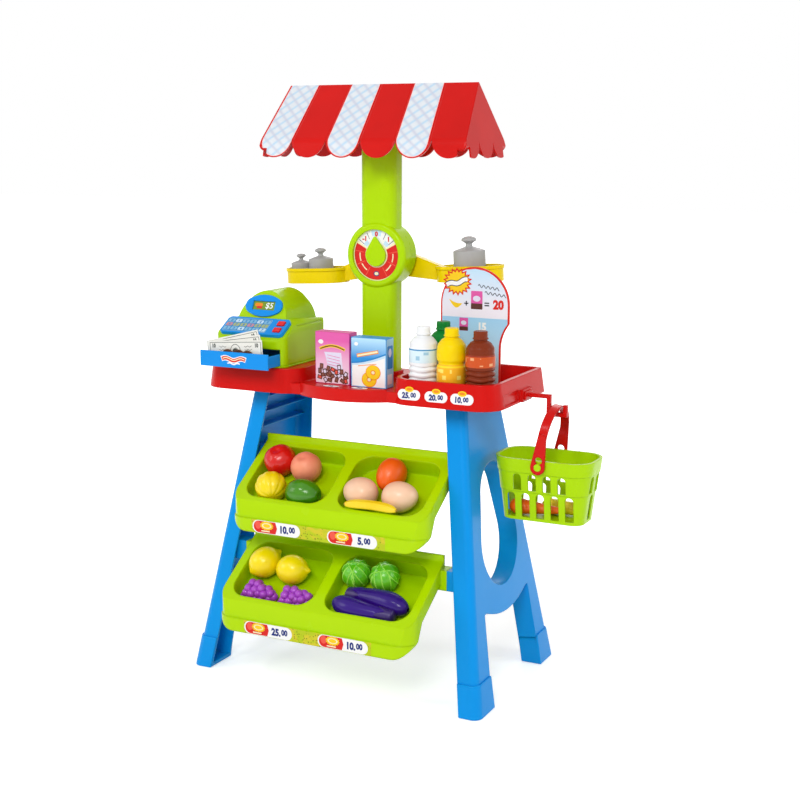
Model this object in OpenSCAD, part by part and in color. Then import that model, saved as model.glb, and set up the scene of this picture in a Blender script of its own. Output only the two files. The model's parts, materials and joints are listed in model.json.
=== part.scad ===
// Toy market stall: two splayed side panels carry a counter, two tilted produce trays,
// a column with a balance scale and a striped gable roof. Front faces -Y, floor at z = 0.

/* [Overall] */
// Height of the roof ridge above the floor
stall_h = 830; // [800:1:860]
// Wall thickness of the moulded shells
wall = 3; // [2.6:0.1:3.4]
// Clearance around sliding pieces
slide_gap = 0.4; // [0.3:0.05:0.6]
// Gap under a piece that rests on a surface
rest_gap = 0.05; // [0.02:0.01:0.1]

/* [Side panels] */
// Height of the side panels, up to the counter
panel_h = 407; // [398:1:416]
// Half span over the outer faces at the counter
top_half_x = 166; // [162:1:170]
// Half span over the outer faces at the floor
foot_half_x = 225; // [218:1:232]
// Half depth of a panel at the counter
top_half_y = 62; // [59:1:65]
// Half depth of a panel at the floor
foot_half_y = 140; // [135:1:145]
// Thickness of a panel
panel_t = 28; // [26:1:30]
// Radius of the rounded outer edges
panel_edge_r = 11; // [9:1:12]
// Height of the crossbar underside
bar_z = 110; // [106:1:114]
// Height of the crossbar in the middle
bar_h = 36; // [33:1:39]
// Height of the top of the panel opening
hole_top_z = 318; // [312:1:322]
// Lower radius of the panel opening
hole_low_r = 62; // [58:1:64]
// Upper radius of the panel opening
hole_top_r = 46; // [43:1:48]
// Radius of the curved crossbar underside
bar_curve_r = 175; // [165:1:190]
// Width of a leg at the floor
leg_foot_w = 50; // [47:1:53]
// Width of a leg just under the crossbar
leg_bar_w = 38; // [36:1:41]
// Height of the foot caps
cap_h = 44; // [40:1:48]
// Wall of the foot caps
cap_t = 2.5; // [2:0.1:3]
// Sole of the foot caps
cap_sole = 3; // [2.5:0.1:4]
// Thickness of the ribs inside the panels
rib_t = 2.4; // [2:0.1:3]

/* [Trays] */
// Half width of a produce tray
tray_half_w = 150; // [148:0.5:151]
// Run of the sloped tray rim, front to back
tray_run = 99; // [96:1:102]
// Drop of the sloped tray rim
tray_drop = 64.5; // [62:0.5:67]
// Back edge of the upper tray
tray_up_y = -50; // [-53:1:-48]
// Height of the back edge of the upper tray
tray_up_z = 327; // [323:1:331]
// Back edge of the lower tray
tray_low_y = -88; // [-90:1:-86]
// Height of the back edge of the lower tray
tray_low_z = 194; // [190:1:198]
// Height of the tray front
fascia_h = 43; // [40:1:46]
// Outward lean of the tray front
fascia_lean = 6; // [4:1:7]
// Height of the skirt under the tray front
skirt_h = 19; // [17:1:21]
// Step of the skirt
skirt_t = 1.6; // [1.2:0.1:2]
// Radius of the front corners of a tray
tray_r = 26; // [23:1:28]
// Height of the tray sides
tray_side_h = 21; // [19:1:23]
// Height of the lip along the back of a tray
tray_lip_h = 9; // [7:1:11]
// Depth of a produce pocket
pocket_depth = 26; // [24:1:28]
// Corner radius of a produce pocket
pocket_r = 24; // [21:1:26]
// Radius of the lower corners of the tray front
fascia_r = 30; // [26:1:32]
// Depth of the tray front at its foot
fascia_back = 16; // [14:0.5:18]
// Rim in front of the produce pockets
pocket_front = 8; // [7:0.5:9]
// Rim around the produce pockets
pocket_rim = 10; // [9:0.5:11]
// Rib between the two pockets
pocket_rib = 17; // [15:1:19]
// Reach of a tray lug beyond the tray side
lug_len = 9; // [8:0.5:10]
// Depth of a tray lug
lug_d = 22; // [20:1:23]
// Height of a tray lug
lug_h = 28; // [26:1:30]
// Radius of the lug peg
peg_r = 5; // [4.5:0.1:5.5]
// Length of the lug peg
peg_len = 7; // [6:0.5:8]

/* [Counter] */
// Half width of the counter
counter_half = 227; // [222:1:232]
// Front of the bin and the till deck
counter_front = 104; // [101:1:107]
// Back of the counter
counter_rear = 89; // [86:1:92]
// Height of the counter
counter_h = 34; // [32:1:36]
// Half width of the middle ledge
ledge_half = 68; // [66:0.5:70]
// Front of the middle ledge
ledge_front = 119; // [116:1:121]
// Height of the middle ledge
ledge_h = 15; // [14:0.5:16]
// Inward lean of the counter walls
counter_draft = 5; // [4:0.5:5.5]
// Width of the bin rim
bin_rim = 6; // [5:0.5:6.5]
// Corner radius of the counter sections
counter_r = 34; // [30:1:36]
// Corner radius at the back of the counter
counter_back_r = 13; // [11:0.5:14]
// Front of the ledge where it meets the bin
ledge_side = 96; // [94:0.5:98]
// Height of the lip along the ledge
ledge_lip_h = 2.5; // [2:0.5:3]

/* [Column and dial] */
// Width of the column
col_w = 54; // [52:1:56]
// Depth of the column
col_d = 36; // [34:1:38]
// Corner radius of the column
col_r = 12; // [10:0.5:13]
// Distance of the column behind the middle
col_y = 21; // [19:0.5:23]
// Height of the dial centre
dial_z = 595; // [585:1:605]
// Radius of the dial drum
drum_r = 46; // [44:0.5:48]
// Depth of the dial drum
drum_d = 42; // [40:0.5:44]
// Rounding of the drum edge
drum_edge_r = 6; // [5:0.5:7]
// Radius of the dial opening
dial_r = 36; // [34:0.5:37]
// Depth of the dial recess
dial_recess = 4.2; // [3.8:0.1:4.6]
// Thickness of the dial plate
dial_t = 1.5; // [1.2:0.1:1.8]
// Radius of the pointer hub
pointer_r = 15.7; // [14:0.1:17]
// Reach of the pointer tip
pointer_len = 26; // [24:0.5:28]
// Thickness of the pointer
pointer_t = 3.4; // [3:0.1:3.6]

/* [Balance] */
// Radius of the balance shaft
shaft_r = 5; // [4.5:0.1:5.5]
// Radial clearance of the shaft in its bearings
shaft_gap = 0.05; // [0.03:0.01:0.08]
// Lean of the balance as shown, right side up
balance_tilt = 3; // [2:0.5:5]
// Thickness of the beam
beam_t = 13; // [12:0.5:14]
// Gap between the drum and the beam
beam_gap = 1.5; // [1:0.1:2]
// Distance from the pivot to a pan centre
pan_x = 122; // [119:0.5:125]
// Length of a pan
pan_len = 100; // [97:1:103]
// Width of a pan
pan_w = 56; // [54:1:58]
// Height of a pan
pan_h = 22; // [20:0.5:24]
// Distance of the pan rim below the pivot
pan_rim_drop = 19; // [17:1:21]
// Wall of the pans
pan_t = 2.6; // [2.2:0.1:3]
// Radius of the large weight
weight_large_r = 22.5; // [21.5:0.1:23]
// Height of the body of the large weight
weight_large_h = 40; // [38:0.5:42]

/* [Roof] */
// Half length of the ridge
ridge_half = 146; // [142:1:150]
// Half length along the eaves
eave_half = 158; // [154:1:162]
// Half depth of the roof at the eaves
roof_half_d = 70; // [66:1:74]
// Height of the roof slope
roof_rise = 82; // [79:1:85]
// Height of the scalloped edge
scallop_h = 17; // [15:1:19]
// Radius of the bend above the scallops
eave_bend_r = 26; // [23:1:29]
// Number of stripes along the roof
stripe_count = 6; // [6]
// Thickness of the roof shell
roof_t = 2.5; // [2.2:0.1:3]
// Height of the roof socket on the column
socket_h = 46; // [42:1:50]

/* [Till] */
// Width of the till
till_w = 114; // [112:1:117]
// Depth of the till
till_d = 126; // [122:1:130]
// Height of the till front
till_front_h = 37; // [36:0.5:39]
// Height of the back edge of the keypad slope
till_slope_h = 64; // [62:0.5:66]
// Overall height of the till
till_h = 101; // [98:1:104]
// Run of the sloped hood front
hood_run = 20; // [18:0.5:22]
// Thickness of the till base
till_base_t = 2.5; // [2.2:0.1:3]
// Height of the drawer front
drawer_front_h = 22; // [21:0.5:23]
// Width of the drawer front
drawer_front_w = 111; // [108:0.5:112]
// How far the drawer stands open
drawer_out = 34; // [30:1:38]
// Wall of the drawer
drawer_t = 2.4; // [2:0.1:2.8]
// Thickness of a coin
coin_t = 2.2; // [2:0.1:2.4]
// Thickness of a banknote
note_t = 0.8; // [0.7:0.1:1]
// Thickness of the keypad
keypad_t = 5; // [4.6:0.1:5.4]
// Width of a key
key_w = 12; // [11:0.2:13]
// Depth of a key
key_d = 9.6; // [9:0.2:10]
// Reach of the flange that keeps a key in
key_flange = 1.2; // [1:0.1:1.4]
// Thickness of the key flange
key_flange_t = 1; // [0.9:0.1:1.2]
// Travel of a key
key_travel = 2; // [1.8:0.1:2.2]

/* [Basket] */
// Length of the basket rim
basket_len = 136; // [132:1:140]
// Width of the basket rim
basket_w = 80; // [77:1:83]
// Height of the basket
basket_h = 87; // [84:1:90]
// Taper of the basket wall at the bottom
basket_taper = 11; // [9:0.5:12]
// Wall of the basket
basket_t = 2.2; // [2:0.1:2.6]
// Height of the rim band
band_h = 19; // [17:1:21]
// Step of the rim band
band_t = 2; // [1.6:0.1:2.4]
// Corner radius of the rim
basket_r = 27; // [24:1:30]
// Distance from the pins up to the handle top
handle_h = 76; // [73:1:79]
// Thickness of the handle strap
strap_t = 2.8; // [2.4:0.1:3.2]
// Width of the handle strap
strap_w = 12; // [11:0.5:13]
// Radius of the basket pins
pin_r = 5; // [4.6:0.1:5.4]
// Lean of the handle as shown
handle_lean = 8; // [5:0.5:11]
// Reach of the basket hook from the counter
hook_reach = 34; // [32:0.5:37]
// Drop of the basket hook
hook_drop = 17; // [15:0.5:19]
// Thickness of the hook bar
hook_t = 5.5; // [5:0.1:6]
// Distance of the hook behind the middle
hook_y = 5; // [3:0.5:8]

/* [Goods] */
// Radius of a round fruit
fruit_r = 22.5; // [21.5:0.1:22.8]
// Radius of a bottle
bottle_r = 20.5; // [19.5:0.1:20.8]
// Height of a bottle
bottle_h = 99; // [95:0.5:103]
// Width of a carton
carton_w = 54; // [52:0.5:56]
// Height of a carton
carton_h = 72; // [69:0.5:75]
// Depth of a carton
carton_d = 22; // [20:0.5:24]
// Gap between the cartons
carton_gap = 5; // [4:0.5:6]
// Height of the sign card
sign_h = 173; // [168:1:178]
// Radius of the round top of the sign card
sign_r = 51; // [49:0.5:53]
// Thickness of the sign card
sign_t = 3; // [2.6:0.1:3.4]
// Distance of the sign card behind the middle
sign_y = 10; // [8:0.5:12]

/* [Hidden] */
$fn = 64;
hull_fn = 32;

// how close a joining bar comes to the true tangent of two circles
strap_share = 0.998;

// panel lean and slanted lengths
splay = atan((foot_half_x - top_half_x) / panel_h);
v_top = panel_h / cos(splay);
edge_slope = (foot_half_y - top_half_y) / v_top;
edge_lean = atan(edge_slope);
hole_low_z = bar_z + bar_h + hole_low_r;
rib_depth_share = 0.55;
rib_shares = [0.30, 0.55, 0.80];

// tray lean
tray_lean = atan(tray_drop / tray_run);
tray_slope = tray_drop / tray_run;
tray_len = tray_run / cos(tray_lean);
tray_front = tray_run + fascia_lean;
pocket_w = tray_half_w - pocket_rim - wall - pocket_rib / 2;
pocket_x = (pocket_w + pocket_rib) / 2;
pocket_len = tray_len - pocket_rim - pocket_front;
pocket_s = pocket_rim + pocket_len / 2;
lug_z_share = 0.5;
lug_y = wall - lug_d * 0.1;
lug_z = -(lug_h * lug_z_share + pocket_rim * 0.9);
tray_at = [[tray_up_y, tray_up_z], [tray_low_y, tray_low_z]];

// counter levels
counter_top = panel_h + counter_h;
ledge_z = panel_h + ledge_h;
bin_z = panel_h + wall * 4 / 3;
section_w = counter_half - ledge_half;
section_x = (counter_half + ledge_half) / 2;
counter_d = counter_front + counter_rear;
counter_y = (counter_rear - counter_front) / 2;
ledge_sag = ledge_front - ledge_side;
bow_r = (ledge_half * ledge_half + ledge_sag * ledge_sag) / (2 * ledge_sag);

// column, roof and balance levels
roof_slope = roof_rise / roof_half_d;
roof_lean = atan(roof_slope);
roof_tv = roof_t / cos(roof_lean);
col_top = stall_h - roof_tv - roof_slope * col_d / 2;
// the roof socket reaches at most half way down to the drum
socket_reach = min(socket_h, (col_top - dial_z - drum_r) / 2);
drum_front_y = col_y - drum_d / 2;
drum_back_y = col_y + drum_d / 2;
beam_y = drum_back_y + beam_gap + beam_t / 2;
dial_front_y = drum_front_y + dial_recess;
weight_shares = [0.67, 0.80, 1];
pan_floor = -pan_rim_drop - pan_h + pan_t;

bend_share = 0.88;
bend_steps = 5;
tail_lean = 78;

// till placement
till_x = -section_x - counter_draft * 0.8;
till_y = -counter_front + counter_draft + wall;
till_slope_run_share = 0.35;
till_run = till_d * till_slope_run_share;
till_lean = atan((till_slope_h - till_front_h) / till_run);
hood_y = till_run * 0.82;
hood_z = till_slope_h - wall * 2;
hood_lean = atan((till_h - hood_z) / hood_run);
slot_w = drawer_front_w - 4 * drawer_t;
slot_h = drawer_front_h + drawer_t + till_base_t / 2;
drawer_d = till_d - 5 * wall;
drawer_w = slot_w - 2 * slide_gap;
drawer_h = drawer_front_h * 0.75;

// basket placement
hook_z = panel_h + hook_t * 1.5;
hook_x = counter_half + wall;
seat_x = hook_x + hook_reach + strap_w / 2 + wall;
seat_z = hook_z - hook_drop;
strap_y = basket_w / 2 + band_t + slide_gap;
// drop of the handle's inner arc over the length of the hook seat
seat_sag = strap_y - sqrt(strap_y * strap_y - hook_t * hook_t);
hang = handle_h - hook_t / 2 - seat_sag - rest_gap;
pivot_x = seat_x - hang * sin(handle_lean);
pivot_z = seat_z - hang * cos(handle_lean);
basket_top = pivot_z + band_h * 0.45;
basket_right = pivot_x + basket_len / 2 + band_t;

// whole-stall offset that centres the footprint on the origin
stall_x = (max(counter_half, foot_half_x + cap_t) - basket_right) / 2;
stall_y = (-tray_low_y + tray_front + skirt_t - foot_half_y - cap_t) / 2;

module at_stall() translate([stall_x, stall_y, 0]) children();

function tangent(a, ra, b, rb, side) =
  let (v = b - a, u = v / norm(v), n = [-u[1], u[0]] * side, c = (ra - rb) / norm(v))
  let (m = u * c + n * sqrt(1 - c * c)) [a + m * ra, b + m * rb];

// bar between two circles, a hair inside their outer tangents
module strap(a, ra, b, rb) {
  p = tangent(a, ra * strap_share, b, rb * strap_share, 1);
  q = tangent(a, ra * strap_share, b, rb * strap_share, -1);
  polygon([q[0], q[1], p[1], p[0]]);
}

// two circles joined by their outer tangents
module belt(a, ra, b, rb) {
  strap(a, ra, b, rb);
  translate(a) circle(ra);
  translate(b) circle(rb);
}

// rectangle with round corners, centred
module rrect(w, d, r) {
  square([w - 2 * r, d], center = true);
  square([w, d - 2 * r], center = true);
  for (sx = [-1, 1], sy = [-1, 1])
    translate([sx * (w / 2 - r), sy * (d / 2 - r)]) circle(r);
}

// four-arc oval, centred; share sets the end radius
module oval(w, h, share) {
  r = h * share;
  c = w / 2 - r;
  big = (c * c + h * h / 4 - r * r) / (h - 2 * r);
  reach = c + r * c / (big - r);
  intersection() {
    translate([0, h / 2 - big]) circle(big);
    translate([0, big - h / 2]) circle(big);
    square([2 * reach, h], center = true);
  }
  for (s = [-1, 1]) translate([s * c, 0]) circle(r);
}

// body of revolution of an outline that is symmetric about the vertical axis
module turned(reach) {
  rotate_extrude() intersection() {
    children();
    translate([0, -reach]) square([reach, 2 * reach]);
  }
}

// flat outline laid in the Y-Z plane and extruded along X
module along_x(x0, x1) translate([x0, 0, 0]) rotate([90, 0, 90]) linear_extrude(x1 - x0) children();

// flat outline laid in the X-Z plane and extruded along Y
module along_y(y0, y1) translate([0, y1, 0]) rotate([90, 0, 0]) linear_extrude(y1 - y0) children();

// thin slice used by the lofts: four corner discs, the back pair with a radius of its own
module slice(w, d, r, back, z) {
  translate([0, 0, z]) linear_extrude(wall / 30) for (sx = [-1, 1]) {
    translate([sx * (w / 2 - r), r - d / 2]) circle(r, $fn = hull_fn);
    translate([sx * (w / 2 - back), d / 2 - back]) circle(back, $fn = hull_fn);
  }
}

/* side panels */

function half_at(v) = foot_half_y - edge_slope * v;
function outer_x(z) = foot_half_x - (foot_half_x - top_half_x) * z / panel_h;

// end of a tray lug, where it meets the stub on the panel
function lug_end(at) = min(tray_half_w + lug_len,
  outer_x(at[1] + lug_z + lug_h / 2) - panel_t / cos(splay) - rest_gap);

module on_panel(side) {
  mirror([side < 0 ? 1 : 0, 0, 0])
    translate([foot_half_x, 0, 0]) rotate([0, -splay, 0]) children();
}

module leg_gap(e) {
  y0 = foot_half_y - leg_foot_w;
  v1 = (bar_z + bar_h * 0.4) / cos(splay);
  y1 = half_at(v1) - leg_bar_w;
  k = (y0 - y1) / v1;
  difference() {
    polygon([
      [-(y0 + k * panel_t + e), -panel_t], [y0 + k * panel_t + e, -panel_t],
      [y1 + e, v1 + e], [-(y1 + e), v1 + e]
    ]);
    translate([0, bar_z / cos(splay) + bar_curve_r]) circle(bar_curve_r - e);
  }
}

module panel_face(e) {
  inset = e / cos(edge_lean);
  difference() {
    polygon([
      [-(half_at(-panel_t) - inset), -panel_t], [half_at(-panel_t) - inset, -panel_t],
      [half_at(v_top + panel_t) - inset, v_top + panel_t],
      [-(half_at(v_top + panel_t) - inset), v_top + panel_t]
    ]);
    belt([0, hole_low_z / cos(splay)], hole_low_r + e,
         [0, (hole_top_z - hole_top_r) / cos(splay)], hole_top_r + e);
    leg_gap(e);
  }
}

module edge_cut(e, r) {
  for (s = [-1, 1])
    translate([-e, s * (foot_half_y - e / cos(edge_lean)), 0]) rotate([s * edge_lean, 0, 0])
      translate([0, 0, -2 * panel_t]) linear_extrude(v_top + 4 * panel_t) difference() {
        translate([-r, s > 0 ? -r : -panel_t]) square(r + panel_t);
        translate([-r, -s * r]) circle(r);
      }
}

module panel_body(e, inner) {
  difference() {
    along_x(-inner, -e) panel_face(e);
    edge_cut(e, panel_edge_r - e);
  }
}

module level_band(z0, z1) {
  translate([-2 * foot_half_x, -2 * foot_half_y, z0])
    cube([4 * foot_half_x, 4 * foot_half_y, z1 - z0]);
}

module tray_stub(side, at) {
  y = at[0] + lug_y;
  z = at[1] + lug_z;
  x0 = lug_end(at);
  x1 = outer_x(z + lug_h / 2) - wall / 2;
  mirror([side < 0 ? 1 : 0, 0, 0]) difference() {
    translate([x0, y - lug_d / 2, z - lug_h / 2]) cube([x1 - x0, lug_d, lug_h]);
    translate([x0 - wall, y, z]) rotate([0, 90, 0]) cylinder(r = peg_r, h = peg_len + wall);
  }
}

module leg_panel(side) {
  neck = panel_h - hole_top_z;
  color("#0090e8") at_stall() {
    difference() {
      intersection() {
        on_panel(side) panel_body(0, panel_t);
        level_band(cap_sole, panel_h);
      }
      difference() {
        intersection() {
          on_panel(side) panel_body(wall, 2 * panel_t);
          level_band(cap_sole + wall, panel_h - wall);
        }
        on_panel(side) for (s = rib_shares)
          translate([-panel_t * rib_depth_share, -foot_half_y, (hole_top_z + neck * s) / cos(splay)])
            cube([panel_t, 2 * foot_half_y, rib_t]);
      }
    }
    for (at = tray_at) tray_stub(side, at);
  }
}

module leg_panel_left() leg_panel(-1);
module leg_panel_right() leg_panel(1);

// sleeve with a sole around each leg end, open towards the inside of the stall
module foot_caps(side) {
  y_in = foot_half_y - leg_foot_w - cap_t;
  color("#0090e8") at_stall() difference() {
    intersection() {
      on_panel(side) difference() {
        along_x(-panel_t, cap_t) for (s = [-1, 1]) polygon([
          [s * y_in, -panel_t], [s * (half_at(-panel_t) + cap_t), -panel_t],
          [s * (half_at(2 * cap_h) + cap_t), 2 * cap_h], [s * (y_in - cap_t), 2 * cap_h]
        ]);
        edge_cut(-cap_t, panel_edge_r + cap_t);
      }
      level_band(0, cap_h);
    }
    intersection() {
      on_panel(side) panel_body(0, 2 * panel_t);
      level_band(cap_sole, 2 * cap_h);
    }
  }
}

module foot_caps_left() foot_caps(-1);
module foot_caps_right() foot_caps(1);

/* produce trays */

module tray_plan(e) {
  x = tray_half_w - e;
  translate([-x, tray_r - tray_front]) square([2 * x, tray_front - tray_r + wall - max(e, 0)]);
  translate([-(tray_half_w - tray_r), e - tray_front]) square([2 * (tray_half_w - tray_r), tray_r]);
  for (s = [-1, 1])
    translate([s * (tray_half_w - tray_r), tray_r - tray_front]) circle(tray_r - e);
}

module tray_prism(e) {
  low = tray_drop + 2 * fascia_h;
  translate([0, 0, -low]) linear_extrude(low + 2 * tray_lip_h) tray_plan(e);
}

module tray_outer_side() {
  bottom = -tray_drop - fascia_h;
  turn_y = fascia_back * 2 - tray_run;
  along_x(-2 * tray_half_w, 2 * tray_half_w) polygon([
    [wall, tray_lip_h], [0, tray_lip_h], [0, 0], [-tray_run, -tray_drop],
    [-tray_front, bottom], [fascia_back - tray_front, bottom],
    [turn_y, turn_y * tray_slope - tray_side_h], [wall, -tray_side_h]
  ]);
}

module tray_inner_side() {
  tv = wall / cos(tray_lean);
  low = -tray_drop - 2 * fascia_h;
  y1 = wall - tray_run;
  along_x(-2 * tray_half_w, 2 * tray_half_w) polygon([
    [0, -tv], [y1, y1 * tray_slope - tv], [wall - tray_front, -tray_drop - fascia_h],
    [wall - tray_front, low], [0, low]
  ]);
}

// front view of a tray: round lower corners
module tray_face() {
  bottom = -tray_drop - fascia_h;
  tall = 4 * fascia_h + tray_drop;
  along_y(-2 * tray_front, 2 * tray_front)
    translate([0, bottom + tall / 2]) rrect(2 * tray_half_w + 2 * skirt_t, tall, fascia_r);
}

module tray_skirt() {
  bottom = -tray_drop - fascia_h;
  intersection() {
    difference() {
      tray_prism(-skirt_t);
      tray_prism(wall);
    }
    tray_face();
    along_x(-2 * tray_half_w, 2 * tray_half_w) polygon([
      [-2 * tray_front, bottom], [fascia_back - tray_front, bottom],
      [fascia_back - tray_front, bottom + skirt_h], [-2 * tray_front, bottom + skirt_h]
    ]);
  }
}

// pocket frame: X across, -Y down the slope, Z square to the rim
module on_slope() rotate([tray_lean, 0, 0]) children();

module pockets(e, top) {
  on_slope() for (s = [-1, 1])
    translate([s * pocket_x, -pocket_s, -pocket_depth - e])
      linear_extrude(pocket_depth + e + top)
        rrect(pocket_w + 2 * e, pocket_len + 2 * e, pocket_r + e);
}

module tray(at) {
  color("#b4e600") at_stall() translate([0, at[0], at[1]]) {
    difference() {
      union() {
        difference() {
          intersection() {
            tray_prism(0);
            tray_outer_side();
            tray_face();
          }
          intersection() {
            tray_prism(wall);
            tray_inner_side();
          }
        }
        tray_skirt();
        pockets(wall, -wall / 3);
      }
      pockets(0, wall);
    }
    for (s = [-1, 1]) mirror([s < 0 ? 1 : 0, 0, 0]) {
      x0 = tray_half_w - pocket_rim;
      translate([x0, lug_y - lug_d / 2, lug_z - lug_h / 2])
        cube([lug_end(at) - x0, lug_d, lug_h]);
      translate([tray_half_w, lug_y, lug_z]) rotate([0, 90, 0])
        cylinder(r = peg_r, h = lug_end(at) - tray_half_w + peg_len - rest_gap);
    }
  }
}

module shelf_upper() tray(tray_at[0]);
module shelf_lower() tray(tray_at[1]);

/* counter */

// tapered block of one counter section
module section_block(e, z0, z1) {
  w = section_w - 2 * e;
  d = counter_d - 2 * e;
  lean = counter_draft * (z1 - z0) / counter_h;
  hull() {
    slice(w, d, counter_r - e, counter_back_r - e, z0);
    slice(w - 2 * lean, d - 2 * lean, counter_r - e - lean, counter_back_r - e - lean, z1 - wall / 30);
  }
}

module bin_hollow() {
  e = counter_draft + bin_rim;
  w = section_w - 2 * e;
  d = counter_d - 2 * e;
  k = counter_draft / 2;
  hull() {
    slice(w - 2 * k, d - 2 * k, counter_r - e - k, counter_back_r - e, bin_z);
    slice(w, d, counter_r - e, counter_back_r - e + k, counter_top + wall);
  }
}

// ledge outline with a bowed front
module ledge_plan(e, half) {
  translate([-half, e - ledge_side]) square([2 * half, ledge_side + counter_rear - 2 * e]);
  intersection() {
    translate([0, bow_r - ledge_front]) circle(bow_r - e);
    translate([-half, -ledge_front]) square([2 * half, ledge_front]);
  }
}

module counter() {
  seat = col_w + 2 * wall + 2 * rest_gap;
  seat_d = col_d + 2 * wall + 2 * rest_gap;
  color("#e01a14") at_stall() {
    difference() {
      union() {
        for (s = [-1, 1]) translate([s * section_x, counter_y, 0]) section_block(0, panel_h, counter_top);
        translate([0, 0, panel_h]) linear_extrude(ledge_h) ledge_plan(0, ledge_half + counter_r * 0.6);
        translate([0, 0, ledge_z - wall]) linear_extrude(ledge_lip_h + wall) intersection() {
          difference() {
            translate([0, bow_r - ledge_front]) circle(bow_r);
            translate([0, bow_r - ledge_front]) circle(bow_r - wall);
          }
          translate([-ledge_half, -ledge_front]) square([2 * ledge_half, ledge_sag]);
        }
        translate([0, col_y, ledge_z - wall]) linear_extrude(4 * wall) rrect(seat, seat_d, col_r + wall);
        translate([counter_half - 2 * hook_t, hook_y - 3 * hook_t, panel_h])
          cube([hook_x - counter_half + 2 * hook_t, 6 * hook_t, 3 * hook_t]);
      }
      // underside of the till deck
      translate([-section_x, counter_y, 0]) section_block(wall, panel_h - wall, counter_top - wall);
      // underside of the ledge
      translate([0, 0, panel_h - wall]) linear_extrude(ledge_h) ledge_plan(wall, ledge_half - wall);
      translate([section_x, counter_y, 0]) bin_hollow();
      translate([0, col_y, ledge_z]) linear_extrude(5 * wall)
        rrect(col_w + 2 * rest_gap, col_d + 2 * rest_gap, col_r + rest_gap);
      // long recess low in the right side wall
      translate([counter_half - wall, -counter_front * 0.66, panel_h + wall])
        cube([2 * wall, counter_front * 0.5, counter_h * 0.42]);
    }
    // frame that the left panel stands under
    translate([panel_t / 2 - top_half_x, 0, panel_h]) linear_extrude(counter_h - wall / 2) difference() {
      square([panel_t + wall, 2 * top_half_y], center = true);
      square([panel_t - wall, 2 * top_half_y - 2 * wall], center = true);
    }
    // two low ribs that hold the sign card
    intersection() {
      for (s = [-1, 1])
        translate([ledge_half, sign_y + s * (sign_t / 2 + rest_gap + rib_t / 2) - rib_t / 2, panel_h])
          cube([section_w, rib_t, counter_h / 2]);
      translate([section_x, counter_y, 0]) linear_extrude(2 * panel_h)
        square([section_w - 3 * counter_draft, counter_d - 3 * counter_draft], center = true);
    }
  }
}

/* column, dial and balance */

module drum(r, y0, y1, round) {
  translate([0, 0, dial_z]) rotate([90, 0, 0]) translate([0, 0, -y1]) rotate_extrude()
    intersection() {
      translate([0, (y1 - y0) / 2]) rrect(2 * r, y1 - y0, round);
      square([r, y1 - y0]);
    }
}

module bore_y(r, y0, y1) {
  translate([0, y1, dial_z]) rotate([90, 0, 0]) cylinder(r = r, h = y1 - y0);
}

module column_tube(e, z0, z1) {
  translate([0, col_y, z0]) linear_extrude(z1 - z0) rrect(col_w - 2 * e, col_d - 2 * e, col_r - e);
}

module column_body() {
  back_wall = dial_front_y + dial_t + wall;
  difference() {
    union() {
      column_tube(0, ledge_z, col_top);
      drum(drum_r, drum_front_y, drum_back_y, drum_edge_r);
    }
    difference() {
      union() {
        column_tube(wall, ledge_z + wall, col_top - wall);
        bore_y(drum_r - wall, back_wall, drum_back_y - wall);
      }
      // walls that carry the shaft, kept across the drum
      bore_y(drum_r - wall, drum_front_y, back_wall);
      bore_y(2 * shaft_r, back_wall - wall, back_wall + wall);
      bore_y(2 * shaft_r, drum_back_y - 3 * wall, drum_back_y);
    }
    bore_y(dial_r, drum_front_y - wall, dial_front_y + dial_t);
    bore_y(shaft_r + shaft_gap, drum_front_y - wall, drum_back_y + wall);
  }
}

module column_half(y0) {
  color("#b4e600") at_stall() intersection() {
    column_body();
    translate([-2 * drum_r, y0, 0]) cube([4 * drum_r, 2 * drum_d, stall_h]);
  }
}

module column_front() column_half(col_y - 2 * drum_d);
module column_back() column_half(col_y);

module dial_plate() {
  color("white") at_stall() difference() {
    bore_y(dial_r - rest_gap, dial_front_y, dial_front_y + dial_t);
    bore_y(shaft_r + slide_gap, dial_front_y - wall, dial_front_y + 2 * wall);
  }
}

// everything that tips with the beam
module tipped() translate([0, 0, dial_z]) rotate([0, -balance_tilt, 0]) children();

module pointer() {
  y1 = dial_front_y - slide_gap;
  tip_r = pointer_r * 0.18;
  color("#b4e600") at_stall() tipped() along_y(y1 - pointer_t, y1)
    belt([0, 0], pointer_r, [0, pointer_len - tip_r], tip_r);
}

module balance_shaft() {
  y0 = dial_front_y - slide_gap;
  color("#b4e600") at_stall() bore_y(shaft_r, y0, beam_y + beam_t / 2 + wall);
}

// long pan outline with round ends
module pan_plan(e) {
  r = pan_w / 2 - e;
  c = pan_len / 2 - pan_w / 2;
  square([2 * c, 2 * r * strap_share], center = true);
  for (s = [-1, 1]) translate([s * c, 0]) circle(r);
}

module balance_beam() {
  arm_r = pan_h * 0.46;
  arm_x = pan_x - pan_len / 2 + 2 * pan_t;
  arm_z = -pan_rim_drop - arm_r;
  hub_r = 4 * shaft_r;
  color("#f2d500") at_stall() tipped() difference() {
    union() {
      along_y(beam_y - beam_t / 2, beam_y + beam_t / 2) {
        translate([0, -2 * shaft_r]) circle(hub_r);
        for (s = [-1, 1]) {
          strap([0, -2 * shaft_r], hub_r, [s * arm_x, arm_z], arm_r);
          translate([s * arm_x, arm_z]) circle(arm_r);
        }
      }
      for (s = [-1, 1]) translate([s * pan_x, beam_y, 0]) difference() {
        union() {
          translate([0, 0, -pan_rim_drop - pan_h]) linear_extrude(pan_h) pan_plan(pan_t / 2);
          translate([0, 0, -pan_rim_drop - pan_h * 0.2]) linear_extrude(pan_h * 0.2) pan_plan(0);
        }
        translate([0, 0, pan_floor]) linear_extrude(2 * pan_h) pan_plan(3 * pan_t / 2);
      }
    }
    translate([0, beam_y + 2 * beam_t, 0]) rotate([90, 0, 0]) cylinder(r = shaft_r, h = 4 * beam_t);
  }
}

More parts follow.
